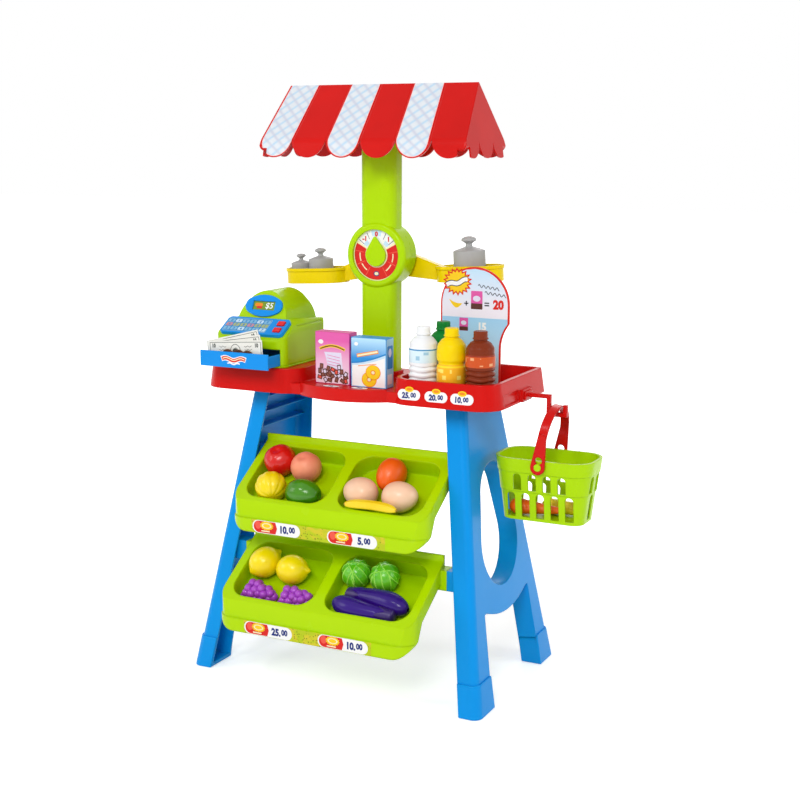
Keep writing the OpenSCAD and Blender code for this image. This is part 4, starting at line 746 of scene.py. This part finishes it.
# bottle, its finish, label name and inks, depth of ribs and waist in mm, and the label's foot and head as
# shares of its height
for n, tone, film, inks, rib, waist, foot, head in (
    ("bottle_white", moulded("white_polythene", "#eef0f2", 0.3, 0.97),
     "pale_blue_label", ("#d6eaf2", "#3a8ac0", "#9cc6dc"), 3.0, 0.6, 0.50, 0.72),
    ("bottle_yellow", moulded("yellow_polythene", "#f7d400", 0.28),
     "orange_yellow_label", ("#f4b41c", "#f8d820", "#f7e36a"), 2.2, 2.6, 0.24, 0.53),
    ("bottle_brown", moulded("brown_polythene", "#7e3016", 0.26),
     "orange_label", ("#c8501c", "#8a2a18", "#e8a878"), 3.0, 0.8, 0.50, 0.70),
    ("bottle_green", moulded("green_polythene", "#0c7c2e", 0.26),
     "green_label", ("#e8eccc", "#0c5c24", "#b0d060"), 2.6, 0.8, 0.44, 0.68),
):
    lo, hi = box_of(n)
    low, top = (lo[2] + (hi[2] - lo[2]) * share for share in (foot, head))
    bottle(n, tone, label_film(film, *inks, low, top), rib, waist, foot, head)

# cartons: folded card with printed fronts, backs and sides
dressed("carton_pink", PINK_CARD, 0.7)
dressed("carton_blue", BLUE_CARD, 0.7)
wave = np.linspace(0, 1, 24)


def carton_prints(n, size, front, back, side):
    """Prints on the front, the back and the right side of a carton of width, depth and height size."""
    mid = front_of(n)
    w, d, _ = size
    prints(n + "_front", n, mid, RIGHT, UP, front)
    prints(n + "_back", n, mid + (0, d * MM, 0), LEFT, UP, back)
    prints(n + "_side", n, mid + (w / 2 * MM, d / 2 * MM, 0), BACK, UP, side)


# pink carton: fading front with a pale swirl, a golden bow, fine lines and a heap of brown tiles
lo, hi = box_of("carton_pink")
w, d, h = (hi - lo) * PER_M
PINK_FRONT = graded("pink_front_ink_fading_down", "#f1dcea", "#df5fa9", lo[2] + 0.008, hi[2] - 0.012)
swirl = np.concatenate([line(-13 + 10 * wave, 8 - 34 * wave + 2 * np.sin(6 * wave)),
                        line(17 - 3 * wave, -24 + 34 * wave + 2 * np.sin(5 * wave))])
bow = 12 + 5 * np.sin(3.1 * wave)
pink_art = [(rrect(w - 1.6, h - 1.6, 2), PINK_FRONT, 0.05), (swirl, LILAC_INK, 0.1),
            (oval(8, 6, -18, 22), WHITE_INK, 0.12), (stroke(line(-20 + 40 * wave, bow), 4.2), GOLD_INK, 0.14),
            (stroke(line(-19 + 38 * wave, bow), 1.6), BROWN_INK, 0.18)]
pink_back = pink_art[:]
rng = np.random.RandomState(4)
for k in range(22):
    a = rng.rand() * 3
    c, s = math.cos(a), math.sin(a)
    row = k // 6
    spot = np.array([(k % 6) * 8.6 - 21.5 + (row % 2) * 4 + rng.rand() * 3,
                     -h / 2 + 5.5 + row * 5.2 + rng.rand() * 3 - (k % 3)])
    spot = np.clip(spot, (6 - w / 2, 5 - h / 2), (w / 2 - 6, -12))
    tile = rrect(7.6, 5.6, 0.6) @ np.array([[c, s], [-s, c]])
    middle = ROSE_INK if k % 5 == 0 else LILAC_INK if k % 4 == 1 else COCOA_INK
    pink_art += [(tile + spot, BROWN_INK, 0.12 + 0.02 * k), (tile * 0.6 + spot, middle, 0.13 + 0.02 * k)]
for k in range(6):
    pink_art.append((stroke(line(-8 + 20 * wave, 4 - 4.2 * k - 3 * wave), 0.7), PINK_INK, 0.15))
carton_prints("carton_pink", (w, d, h), pink_art, pink_back, [
    (rrect(d - 2, h - 2, 2), PINK_INK, 0.05), (rrect(d - 7, h * 0.5, 2, 0, -6), LILAC_INK, 0.1)])

# blue carton: fading front over a white sweep, an orange bar and two golden rings
lo, hi = box_of("carton_blue")
w, d, h = (hi - lo) * PER_M
BLUE_FRONT = graded("blue_front_ink_fading_up", "#2f8fd6", "#b4def5", (lo + hi)[2] / 2 + 0.006, hi[2] - 0.002)
sweep = line(-w / 2 + 1 + (w - 2) * wave, -2 + 14 * wave ** 1.6)
lower = np.concatenate([sweep, [[w / 2 - 1, -h / 2 + 1], [-w / 2 + 1, -h / 2 + 1]]])
bar = 9 + 7 * wave
blue_art = [(rrect(w - 1.6, h - 1.6, 2), BLUE_FRONT, 0.05), (lower, PALE_BLUE_INK, 0.08),
            (stroke(sweep + (0, 1.2), 2.0), PRINT_BLUE, 0.12),
            (lower * (0.96, 0.9) + (0, -2.6), WHITE_INK, 0.1),
            (stroke(line(-18 + 33 * wave, bar), 5.0), ORANGE_INK, 0.14),
            (stroke(line(-17 + 31 * wave, bar), 2.6), CREAM_INK, 0.18), (oval(6, 5, -19, 25), WHITE_INK, 0.1),
            (stroke(line(-16 + 28 * wave, -5 + 4 * wave), 1.0), ORANGE_INK, 0.14)]
for cx, cy in ((7, -13), (1, -23)):
    lift = cx * 0.01
    blue_art += [(oval(23, 21, cx, cy), ORANGE_INK, 0.16 + lift),
                 (oval(21, 19, cx, cy + 0.4), GOLD_INK, 0.19 + lift),
                 (oval(8, 7, cx, cy), ORANGE_INK, 0.22 + lift),
                 (oval(5, 4.4, cx, cy), CREAM_INK, 0.25 + lift)]
carton_prints("carton_blue", (w, d, h), blue_art, blue_art, [
    (rrect(d - 2, h - 2, 2), SKY_INK, 0.05), (rrect(d - 6, h * 0.46, 2, 0, 8), PRINT_BLUE, 0.1),
    (rrect(d - 8, h * 0.2, 1, 0, -22), WHITE_INK, 0.1), (oval(9, 12, 0, 14), LILAC_INK, 0.14)])

# sign card: red edge, pale field in two tones, star burst and small pictures
card_lo, card_hi = box_of("sign_card")
card_z0, card_z1 = float(card_lo[2]), float(card_hi[2])
CARD_FIELD = graded("card_field_lilac_to_blue", "#efe9f3", "#b9dbf0", card_z0 + 0.115, card_z1)
CARD_LOWER = graded("card_lower_sky_blue", "#d4e9f6", "#9fd0ef", card_z0, card_z0 + 0.105)
dressed("sign_card", CARD_RED, 0.4)
card_r, _, card_h = (card_hi - card_lo) * (PER_M / 2, PER_M, PER_M)
card_x = (card_lo + card_hi)[0] / 2
head, foot, waist_r, waist_z = card_h - card_r, card_r * 0.76, card_r * 1.1, card_h * 0.36


def card_outline(e, z0, z1):
    """Outline of the card, e mm inside its edge, between two heights: half width is the foot below the
    waist, the waist arc's edge above it, and the round head on top."""
    z = np.linspace(z0, z1, 90)
    arc = foot + waist_r - np.sqrt(np.clip(waist_r ** 2 - (z - waist_z) ** 2, 0, None))
    half = np.where(z < waist_z, foot, np.where(z - waist_z < waist_r, arc, card_r))
    half = np.minimum(half, card_r) - e
    top = np.sqrt(np.clip((card_r - e) ** 2 - (z - head) ** 2, 0, None))
    half = np.where(z > head, np.minimum(half, top), half)
    return np.concatenate([line(half, z), line(-half, z)[::-1]])


wave = np.linspace(0, 1, 30)
fine = np.linspace(0, 1, 140)
edge = 2.4
curve = line(-38 + 19 * wave, 127 - 8 * np.sin(math.pi * wave) - 5 * wave)
banana_art = np.concatenate([curve, (curve + line(0 * wave, 6 * np.sin(math.pi * wave) + 0.8))[::-1]])
tilt = np.array([[0.97, 0.22], [-0.22, 0.97]])
star_mid = (-26, card_h - 21)
star, inner = (burst(18, r0, r1) @ tilt * (1, 0.88) + star_mid for r0, r1 in ((17, 22.5), (14.2, 18.5)))
ribbon = line(-42 + 31 * wave, card_h - 26 + 8 * wave + 1.5 * np.sin(9 * wave))
art = [(card_outline(edge, edge, card_h - edge), CARD_FIELD, 0.08),
       (card_outline(edge, edge, card_h * 0.60), CARD_LOWER, 0.12),
       (star, RED_INK, 0.2), (inner, GOLD_INK, 0.24),
       (stroke(ribbon, 8), BLACK_INK, 0.28), (stroke(ribbon, 5.6), WHITE_INK, 0.32)]
for x0, y0 in ((5, card_h - 25), (15, card_h - 34)):
    art.append((stroke(line(x0 + 31 * fine, y0 - 4 * fine + 1.7 * np.sin(30 * fine)), 1.0), BLACK_INK, 0.2))
art += [(banana_art, GOLD_INK, 0.2), (rrect(6.5, 1.7, 0.5, -12.5, 123), BLACK_INK, 0.2),
        (rrect(1.7, 6.5, 0.5, -12.5, 123), BLACK_INK, 0.22), (rrect(17, 25, 1, 3, 128), PINK_INK, 0.2),
        (rrect(17, 8, 1, 3, 119.5), BROWN_INK, 0.24), (oval(11, 8, 3, 130), LILAC_INK, 0.28),
        (rrect(7, 1.7, 0.5, 18, 124.6), BLACK_INK, 0.2), (rrect(7, 1.7, 0.5, 18, 121.2), BLACK_INK, 0.2),
        (numerals("20", 11.5, 35, 123, 0.92), RED_INK, 0.2), (rrect(13, 18, 1, -16, 94), PINK_INK, 0.2),
        (rrect(13, 5.5, 1, -16, 88), BROWN_INK, 0.24), (oval(8, 6, -16, 96), LILAC_INK, 0.28),
        (numerals("15", 10, 12, 92, 0.92), WHITE_INK, 0.2)]
prints("sign_card_front", "sign_card", np.array([card_x, card_lo[1], card_lo[2]]), RIGHT, UP, art)
prints("sign_card_back", "sign_card", np.array([card_x, card_hi[1], card_lo[2]]), LEFT, UP,
       [(card_outline(2.6, 2.6, card_h - 2.6), WHITE_INK, 0.08)])

# banknotes: three sheets fanned about their lower left corner, with borders, numbers, waves and a rosette
note_w, note_h = 88.0, 30.8
drawer_floor, note_first, note_gap, note_thick = 3.65, 0.15, 0.8, 0.3
notes_lo, _ = box_of("banknotes")
drawer_lo, drawer_hi = box_of("cash_drawer")


def banknote(i, lean):
    """Flat sheet, turned by lean degrees about its lower left corner; returns its printed front."""
    a = math.radians(lean)
    right = np.array([math.cos(a), 0, math.sin(a)])
    up = np.array([-math.sin(a), 0, math.cos(a)])
    corner = np.array([(drawer_lo + drawer_hi)[0] / 2 - note_w / 2 * MM,
                       notes_lo[1] + (note_first + note_gap * i) * MM, drawer_lo[2] + drawer_floor * MM])
    cx, cy = note_w / 2, note_h / 2
    sheet = rrect(note_w, note_h, 0.8, cx, cy)
    border = rrect(note_w - 5, note_h - 5, 0.6, cx, cy)
    layers = [(sheet, PAPER, 0.05), (stroke(np.concatenate([border, border[:2]]), 0.7), GREY_INK, 0.1),
              (oval(17, 21, cx, cy), GREY_INK, 0.1), (oval(15.4, 19.4, cx, cy), PAPER, 0.13),
              (burst(16, 4, 6.4, cx, cy), GREY_INK, 0.16)]
    for x in (9, note_w - 9):
        for y in (7, note_h - 7):
            layers.append((numerals("10", 5.2, x, y, 0.8), GREY_INK, 0.1))
    x = np.linspace(15, 27, 12)
    for k in range(4):
        for side in (-1, 1):
            layers.append((stroke(line(cx + side * x, 8.5 + 4.6 * k + 0.8 * np.sin(x)), 0.6), GREY_INK, 0.1))
    front = prints(f"banknote_{i}", "banknotes", corner, right, up, layers)
    prints(f"banknote_back_{i}", "banknotes", corner + (0, note_thick * MM, 0), -right, up,
           [(sheet * (-1, 1), PAPER, 0.05)])
    return front


notes = [banknote(i, lean) for i, lean in enumerate((4, 9, 14))]
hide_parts("banknotes")

# coins: outline of radius and height in mm, and their steps along and into the drawer
COIN_OUTLINE = [(0, 1.7), (8.6, 1.7), (9.2, 2.2), (10.6, 2.2), (11, 1.9), (11, 0.3), (10.6, 0), (9.2, 0),
                (8.6, 0.5), (0, 0.5)]
coin_r, coin_step, coin_thick = 11, 16.1, 2.2


def coin(i):
    """Brown disc with a raised rim: the outline turned about Y, standing on its edge."""
    lo, _ = box_of("coins")
    P = lathe(COIN_OUTLINE, 48)
    Q = np.stack([P[..., 0], -P[..., 2], P[..., 1]], -1) * MM
    spot = lo + np.array([coin_r + coin_step * i, coin_thick * (1 + i % 2), coin_r]) * MM
    ob = grid_piece(f"coin_{i}", Q + spot, [COIN])
    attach(ob, "coins")
    return ob


coins = [coin(i) for i in range(3)]
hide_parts("coins")


# play food: pieces about their own pole, then laid on the tray

TRAY_OUT = AXES["tomato_lift"]
UP_SLOPE = np.cross(TRAY_OUT, RIGHT)


def lying(turn):
    """Axes of a piece whose pole lies on the tray, turned about the tray's normal: images of X, Y and Z."""
    a = math.radians(turn)
    pole = math.cos(a) * np.array(RIGHT) + math.sin(a) * UP_SLOPE
    return np.array([TRAY_OUT, np.cross(pole, TRAY_OUT), pole])


def standing(turn=0):
    """Axes of a piece whose pole is the tray's normal, turned about it: images of X, Y and Z."""
    a = math.radians(turn)
    across = np.array(RIGHT)
    return np.array([math.cos(a) * across + math.sin(a) * UP_SLOPE,
                     math.cos(a) * UP_SLOPE - math.sin(a) * across, TRAY_OUT])


def food(n, P, mats, axes, picks=None):
    """Piece of play food in its node's place."""
    stands_for(grid_piece(n + "_moulded", seated(P, n, axes), mats, picks), n)


def tapered(P, v, amount):
    """Widens the section by amount at the top pole and narrows it by as much at the lower one."""
    P[..., :2] *= (1 + amount * np.cos(v))[..., None]
    return P


def tomato():
    """Sphere flattened to 0.95 with four faint lobes, sunk in a bell at both poles."""
    u, v, d = ball()
    P = d * (23.6 * (1 + 0.03 * np.cos(4 * u) * np.sin(v) ** 2))[..., None] * (1, 1, 0.95)
    P[..., 2] += 2.6 * bell(math.pi - v, 0.3) - 3.4 * bell(v, 0.26)
    food("tomato", P, [skin("tomato_vinyl", "#d40f0e", "#e02a18", 0.24, 40, 0.02)], standing())


def peach():
    """Sphere with one crease from pole to pole, a bell in the angle, and a bell sunk at the top."""
    u, v, d = ball()
    apart = np.abs(u - 1.2)
    crease = bell(np.minimum(apart, TAU - apart), 0.16) * np.sin(v) ** 0.7
    P = d * (22 * (1 - 0.05 * crease))[..., None]
    P[..., 2] -= 3.2 * bell(v, 0.3)
    food("peach", P, [skin("peach_vinyl", "#f08468", "#f6a078", 0.42, 24, 0.16, 0.8)], standing())


def melon():
    """Sphere with ten round lobes: the radius follows a power of the cosine of five times the angle."""
    u, v, d = ball()
    lobe = np.abs(np.cos(5 * u)) ** 0.6
    P = d * (22.4 * (0.93 + 0.075 * lobe * np.sin(v) ** 0.8))[..., None]
    food("melon", P, [skin("melon_vinyl", "#f2d402", "#f6de0c", 0.27, 20, 0.04)], lying(120))


def avocado():
    """Long ellipsoid, fuller at the lower pole, with a bell sunk at the top."""
    _, v, d = ball()
    P = tapered(d * np.array([20, 20, 27]), v, -0.10)
    P[..., 2] -= 4.2 * bell(v, 0.24)
    food("avocado", P, [skin("avocado_vinyl", "#3a7c06", "#55a018", 0.2, 18, 0.08)], lying(0))


def mango():
    """Ellipsoid, fuller at the top, with a small sunk bell inside a raised ring at the stem."""
    _, v, d = ball()
    P = tapered(d * np.array([21.2, 20, 25.2]), v, 0.16)
    P[..., 2] += 1.2 * bell(v - 0.26, 0.1) - 2.2 * bell(v, 0.16)
    food("mango", P, [skin("mango_vinyl", "#ee5c0a", "#f47214", 0.32, 26, 0.16)], lying(82))


def egg(n, turn):
    """Ellipsoid, narrower at the top pole."""
    _, v, d = ball()
    P = tapered(d * np.array([21.2, 21.2, 25.2]), v, -0.10)
    food(n, P, [skin(n + "_vinyl", "#f1c3a0", "#f5d0b4", 0.3, 30, 0.03)], lying(turn))


def banana():
    """Faintly five-sided section swept along an arc, thin at both ends."""
    bend_r, thickest, half_angle = 202, 6.5, 0.2
    s = np.linspace(-1, 1, 60)[None, :]
    w = turns(40)
    thick = thickest * np.clip(1 - np.abs(s) ** 5 * 0.75, 0.25, 1) * (1 - 0.06 * np.cos(5 * w))
    thick = thick * np.where(np.abs(s) >= 0.999, 0.02, 1)
    bend = bend_r + thick * np.cos(w)
    arc = s * half_angle
    P = np.stack([bend * np.sin(arc), bend * np.cos(arc), thick * np.sin(w) + 0 * s], -1)
    tips = np.tile((np.abs(s[0, :-1]) > 0.95).astype(int), len(w))
    food("banana", P, [skin("banana_vinyl", "#f0cc06", "#f8de30", 0.3, 30, 0.05),
                       skin("banana_tip_vinyl", "#b08a10", "#7a5a14", 0.4, 10, 0.05)], standing(), tips)


LEMON = skin("lemon_vinyl", "#f8dc00", "#fce412", 0.28, 24, 0.16)


def lemon(n, turn, r):
    """Ellipsoid with a raised bell, the nub, at the top pole, and a shallow sunk one below."""
    _, v, d = ball()
    P = d * np.array([r, r, r * 1.12])
    P[..., 2] += r * 0.24 * bell(v, 0.20) - r * 0.10 * bell(math.pi - v, 0.22)
    food(n, P, [LEMON], lying(turn))


GRAPE = skin("grape_vinyl", "#a43cc0", "#b858cf", 0.2, 8, 0.02)
BERRY_STEP = 10.1
# height of each layer of berries, then place along the bunch and number of berries of each row, in mm
BERRY_LAYERS = ((6.6, ((-15, 3), (-6, 4), (4, 3), (13, 3), (22, 2), (29, 1))),
                (13.6, ((-10.5, 3), (-1, 3), (8.5, 2), (17.5, 2), (25, 1))),
                (19.4, ((-6.5, 2), (3.5, 2), (12, 1))))


def grapes(n, turn, seed):
    """Spheres on three layers of rows that shorten toward the tip, each moved and sized a little by
    chance."""
    rs = np.random.RandomState(seed)
    mids = np.array([(x, (j - (k - 1) / 2) * BERRY_STEP, z) for z, rows in BERRY_LAYERS for x, k in rows
                     for j in range(k)])
    mids = mids + rs.uniform(-0.8, 0.8, mids.shape)
    radii = rs.uniform(5.6, 6.3, len(mids))
    nu, nv = 20, 13
    P = mids[:, None, None, :] + ball(nu, nv)[2][None] * radii[:, None, None, None]
    faces = np.concatenate([grid_faces(nu, nv, k * nu * nv) for k in range(len(mids))])
    Q = seated(P.reshape(-1, 3), n, standing(turn))
    stands_for(closed(mesh_piece(n + "_berries", Q, faces[:, ::-1], [GRAPE])), n)


CABBAGE = skin("cabbage_vinyl", "#4ab00c", "#7cd02c", 0.22, 14, 0.03, 0.8)
# lighter green for veins and leaf rims: partly the veins' own paler colour, partly painted highlight along the
# raised ridges
CABBAGE_VEIN_AND_HIGHLIGHT = skin("cabbage_vein_and_painted_highlight_vinyl", "#8ad838", "#b4ea6a", 0.24, 14, 0.03, 0.8)
# direction of the middle of each wrapped leaf and its reach in radians
LEAVES = (((0.75, -0.55, 0.2), 1.15), ((-0.8, -0.35, 0.25), 1.1), ((0.1, 0.85, 0.3), 1.2))


def unit(v):
    """Vector of length 1."""
    return np.asarray(v) / np.linalg.norm(v)


def cabbage(n, turn):
    """Sphere under wrapped leaves. A leaf lifts the points within its reach, each leaf a little more than
    the one below, with a raised rim at its border and veins that fan from its base; the highest leaf
    shows."""
    u, v, d = ball(160, 110)
    lift = 0 * u * v
    ridge = 0 * u * v
    for k, (mid, size) in enumerate(LEAVES):
        c = unit(mid)
        base = unit([c[0] * 0.5, c[1] * 0.5, -0.86])
        side = unit(np.cross(base, c))
        far = np.arccos(np.clip(d @ c, -1, 1))
        fan = np.arctan2(d @ side, d @ np.cross(side, base))
        dist = np.arccos(np.clip(d @ base, -1, 1))
        inside = 1 / (1 + np.exp((far - size + 0.05 * np.cos(9 * fan)) / 0.02))
        fade = np.clip(dist / 0.5, 0, 1) * np.clip((size + 0.2 - far) / 0.5, 0, 1)
        vein = bell(np.sin(5.5 * fan), 0.26) * fade
        rim = bell(far - size + 0.06, 0.05)
        leaf = inside * (0.025 + 0.02 * k + 0.075 * vein + 0.045 * rim)
        ridge = np.where(leaf >= lift, inside * np.maximum(vein, 0.9 * rim), ridge)
        lift = np.maximum(lift, leaf)
    P = d * (20.0 * (0.945 + lift))[..., None]
    # faces where the top leaf's veins and rim stand out take the lighter green: painted highlight on the ridges,
    # partly the veins' paler colour
    food(n, P, [CABBAGE, CABBAGE_VEIN_AND_HIGHLIGHT], standing(turn), (ridge[:, :-1] > 0.55).astype(int).reshape(-1))


AUBERGINE = skin("aubergine_vinyl", "#2c0c72", "#3a148c", 0.22, 40, 0.02, shine=0.25)
CALYX = skin("aubergine_cap_vinyl", "#2a125a", "#3a2070", 0.34, 20, 0.08)


def round_start(t, length):
    """Quarter-ellipse growth from 0 to 1 over the first length of t."""
    return np.sqrt(np.clip(1 - (1 - t / length).clip(0) ** 2, 0, 1))


def round_end(t, start):
    """Quarter-ellipse fall from 1 to 0 between start and the end of t at 1."""
    return np.sqrt(np.clip(1 - np.clip((t - start) / (1 - start), 0, 1) ** 2, 0, 1))


def narrowed(t, start, amount, power=1.0):
    """Share that falls by amount between start and the end of t at 1."""
    return 1 - amount * np.clip((t - start) / (1 - start), 0, 1) ** power


def aubergine(n, turn):
    """Round section swept along a slight bow: full at one end, narrower to the stem, where a cap with five
    pointed leaves stands 0.9 mm proud."""
    t = np.linspace(0, 1, 90)[None, :]
    w = turns(64)
    blunt = np.sqrt(np.clip(1 - ((t - 0.30) / 0.305).clip(None, 0) ** 2, 0, 1))
    radius = 15.4 * blunt * narrowed(t, 0.3, 0.46, 1.3) * round_end(t, 0.955) + 0 * w
    cap = np.clip((t - 0.80 - 0.06 * np.cos(5 * w)) / 0.012, 0, 1)
    radius = radius + 0.9 * cap * (t < 0.985)
    P = swept(radius, t * 98, 4 * np.sin(math.pi * t) - 2)
    food(n, P, [AUBERGINE, CALYX], lying(turn), (cap[:, :-1] > 0.5).astype(int).reshape(-1))


def basket_food(n, finish, shape, nt, nw):
    """Round section swept along X in its node's box: shape gives the radius as a share, from t along the
    piece, w round it and its length in mm."""
    lo, hi = box_of(n)
    length, r = (hi - lo)[0] * PER_M, (hi - lo)[2] * PER_M / 2
    t = np.linspace(0, 1, nt)[None, :]
    w = turns(nw)
    radius = r * shape(t, w, length)
    P = np.stack([t * length + 0 * w, np.cos(w) * radius, np.sin(w) * radius], -1)
    food(n, P, [finish], np.eye(3))


def carrot_shape(t, w, _):
    """Round shoulder, straight taper to a blunt tip, and faint rings that wave round it."""
    rings = 1 - 0.03 * (np.sin(40 * t + 2 * np.sin(w)) > 0.8)
    return round_start(t, 0.16) * narrowed(t, 0.16, 0.66) * round_end(t, 0.94) * rings


def corn_shape(t, w, length):
    """Round end, slight taper, and kernels where two sines, round and along, are both large."""
    kernel = np.abs(np.sin(7 * w)) ** 0.5 * np.abs(np.sin(t * length / 4.2 * math.pi / 1.4)) ** 0.5
    return round_start(t, 0.2) * narrowed(t, 0.2, 0.26) * round_end(t, 0.86) * (0.93 + 0.07 * kernel)


tomato()
peach()
melon()
avocado()
mango()
egg("egg_left", 172)
egg("egg_right", 12)
banana()
lemon("lemon_left", 60, 21.3)
lemon("lemon_right", 6, 20.9)
grapes("grapes_left", -6, 2)
grapes("grapes_right", 4, 5)
cabbage("cabbage_left", 20)
cabbage("cabbage_right", -35)
aubergine("aubergine_back", 174)
aubergine("aubergine_front", -5)
basket_food("basket_carrot", skin("carrot_vinyl", "#ee5a10", "#f47a20", 0.32, 20, 0.08), carrot_shape, 80, 48)
basket_food("basket_corn", skin("corn_vinyl", "#f6cf10", "#f8e048", 0.3, 20, 0.05), corn_shape, 120, 112)


# studio: white floor that keeps the shadow, soft light, camera at the photograph's place

def plain_white(tree):
    """1 for camera, glossy and transmission rays, which see plain white, and 0 for rays that carry light."""
    ray = node(tree, "LightPath").outputs
    seen = node(tree, "Math", {0: ray["Is Camera Ray"], 1: ray["Is Glossy Ray"]}, operation="MAXIMUM")
    return node(tree, "Math", {0: seen, 1: ray["Is Transmission Ray"]}, operation="MAXIMUM")


def lamp(name, place, target, size, power):
    """Square soft box at place, in metres, that faces target."""
    li = bpy.data.lights.new(name, "AREA")
    li.size = size
    li.energy = power
    ob = bpy.data.objects.new(name, li)
    scene.collection.objects.link(ob)
    ob.location = place
    look = np.array(target, float) - np.array(place, float)
    tip = math.acos(-look[2] / np.linalg.norm(look))
    ob.rotation_euler = (tip, 0, math.atan2(look[1], look[0]) - math.pi / 2)


WHITE = linear("#ffffff")
AMBIENT = 0.52
# the floor's own glow grows from a share near the stall to full white, over these distances in metres
glow_range = {"From Min": 0.35, "From Max": 1.1, "To Min": 0.42, "To Max": 1.0}
floor_half, floor_drop = 14, 0.0004
floor_mat, t, p, co = surface("pale_studio_floor", "#f4f4f4", 0.9, 0.0)
apart = node(t, "VectorMath", {0: co}, operation="LENGTH").outputs["Value"]
fade = node(t, "MapRange", {"Value": apart, **glow_range})
glow = node(t, "Math", {0: plain_white(t), 1: fade}, operation="MULTIPLY")
joined(t, p, {"Emission Strength": glow, "Emission Color": WHITE})
corners = np.array([(-1, -1, 0), (1, -1, 0), (1, 1, 0), (-1, 1, 0)]) * floor_half - (0, 0, floor_drop)
floor = mesh_piece("studio_floor", corners, [(0, 1, 2, 3)], [floor_mat], smooth=False)
world = bpy.data.worlds.new("studio")
scene.world = world
world.use_nodes = True
t = world.node_tree
strength = node(t, "MapRange", {"Value": plain_white(t), "To Min": AMBIENT, "To Max": 1.0})
joined(t, t.nodes["Background"], {"Strength": strength, "Color": WHITE})

# name, place, target, size in metres and power in watts
for row in (
    ("key_soft_box", (0.9, -2.9, 2.2), (0, 0, 0.45), 0.9, 44),
    ("fill_soft_box", (-2.4, -1.9, 1.6), (0, 0, 0.45), 1.3, 17),
    ("side_soft_box", (2.6, 0.5, 1.3), (0, 0, 0.5), 1.0, 15),
    ("back_soft_box", (-0.8, 2.6, 1.9), (0, 0, 0.5), 1.4, 13),
    ("small_soft_box", (-0.5, -2.4, 2.6), (0, 0, 0.4), 0.3, 12),
):
    lamp(*row)

cam = bpy.data.cameras.new("photo_camera")
cam.sensor_width = 36
cam.lens = 61.71
cam_ob = bpy.data.objects.new("photo_camera", cam)
scene.collection.objects.link(cam_ob)
cam_ob.location = at(889.4, -1707.8, 747.9)
cam_ob.rotation_euler = (math.radians(90 - 10.56), math.radians(-0.12), math.radians(26.48))
scene.camera = cam_ob
scene.view_settings.view_transform = "Standard"
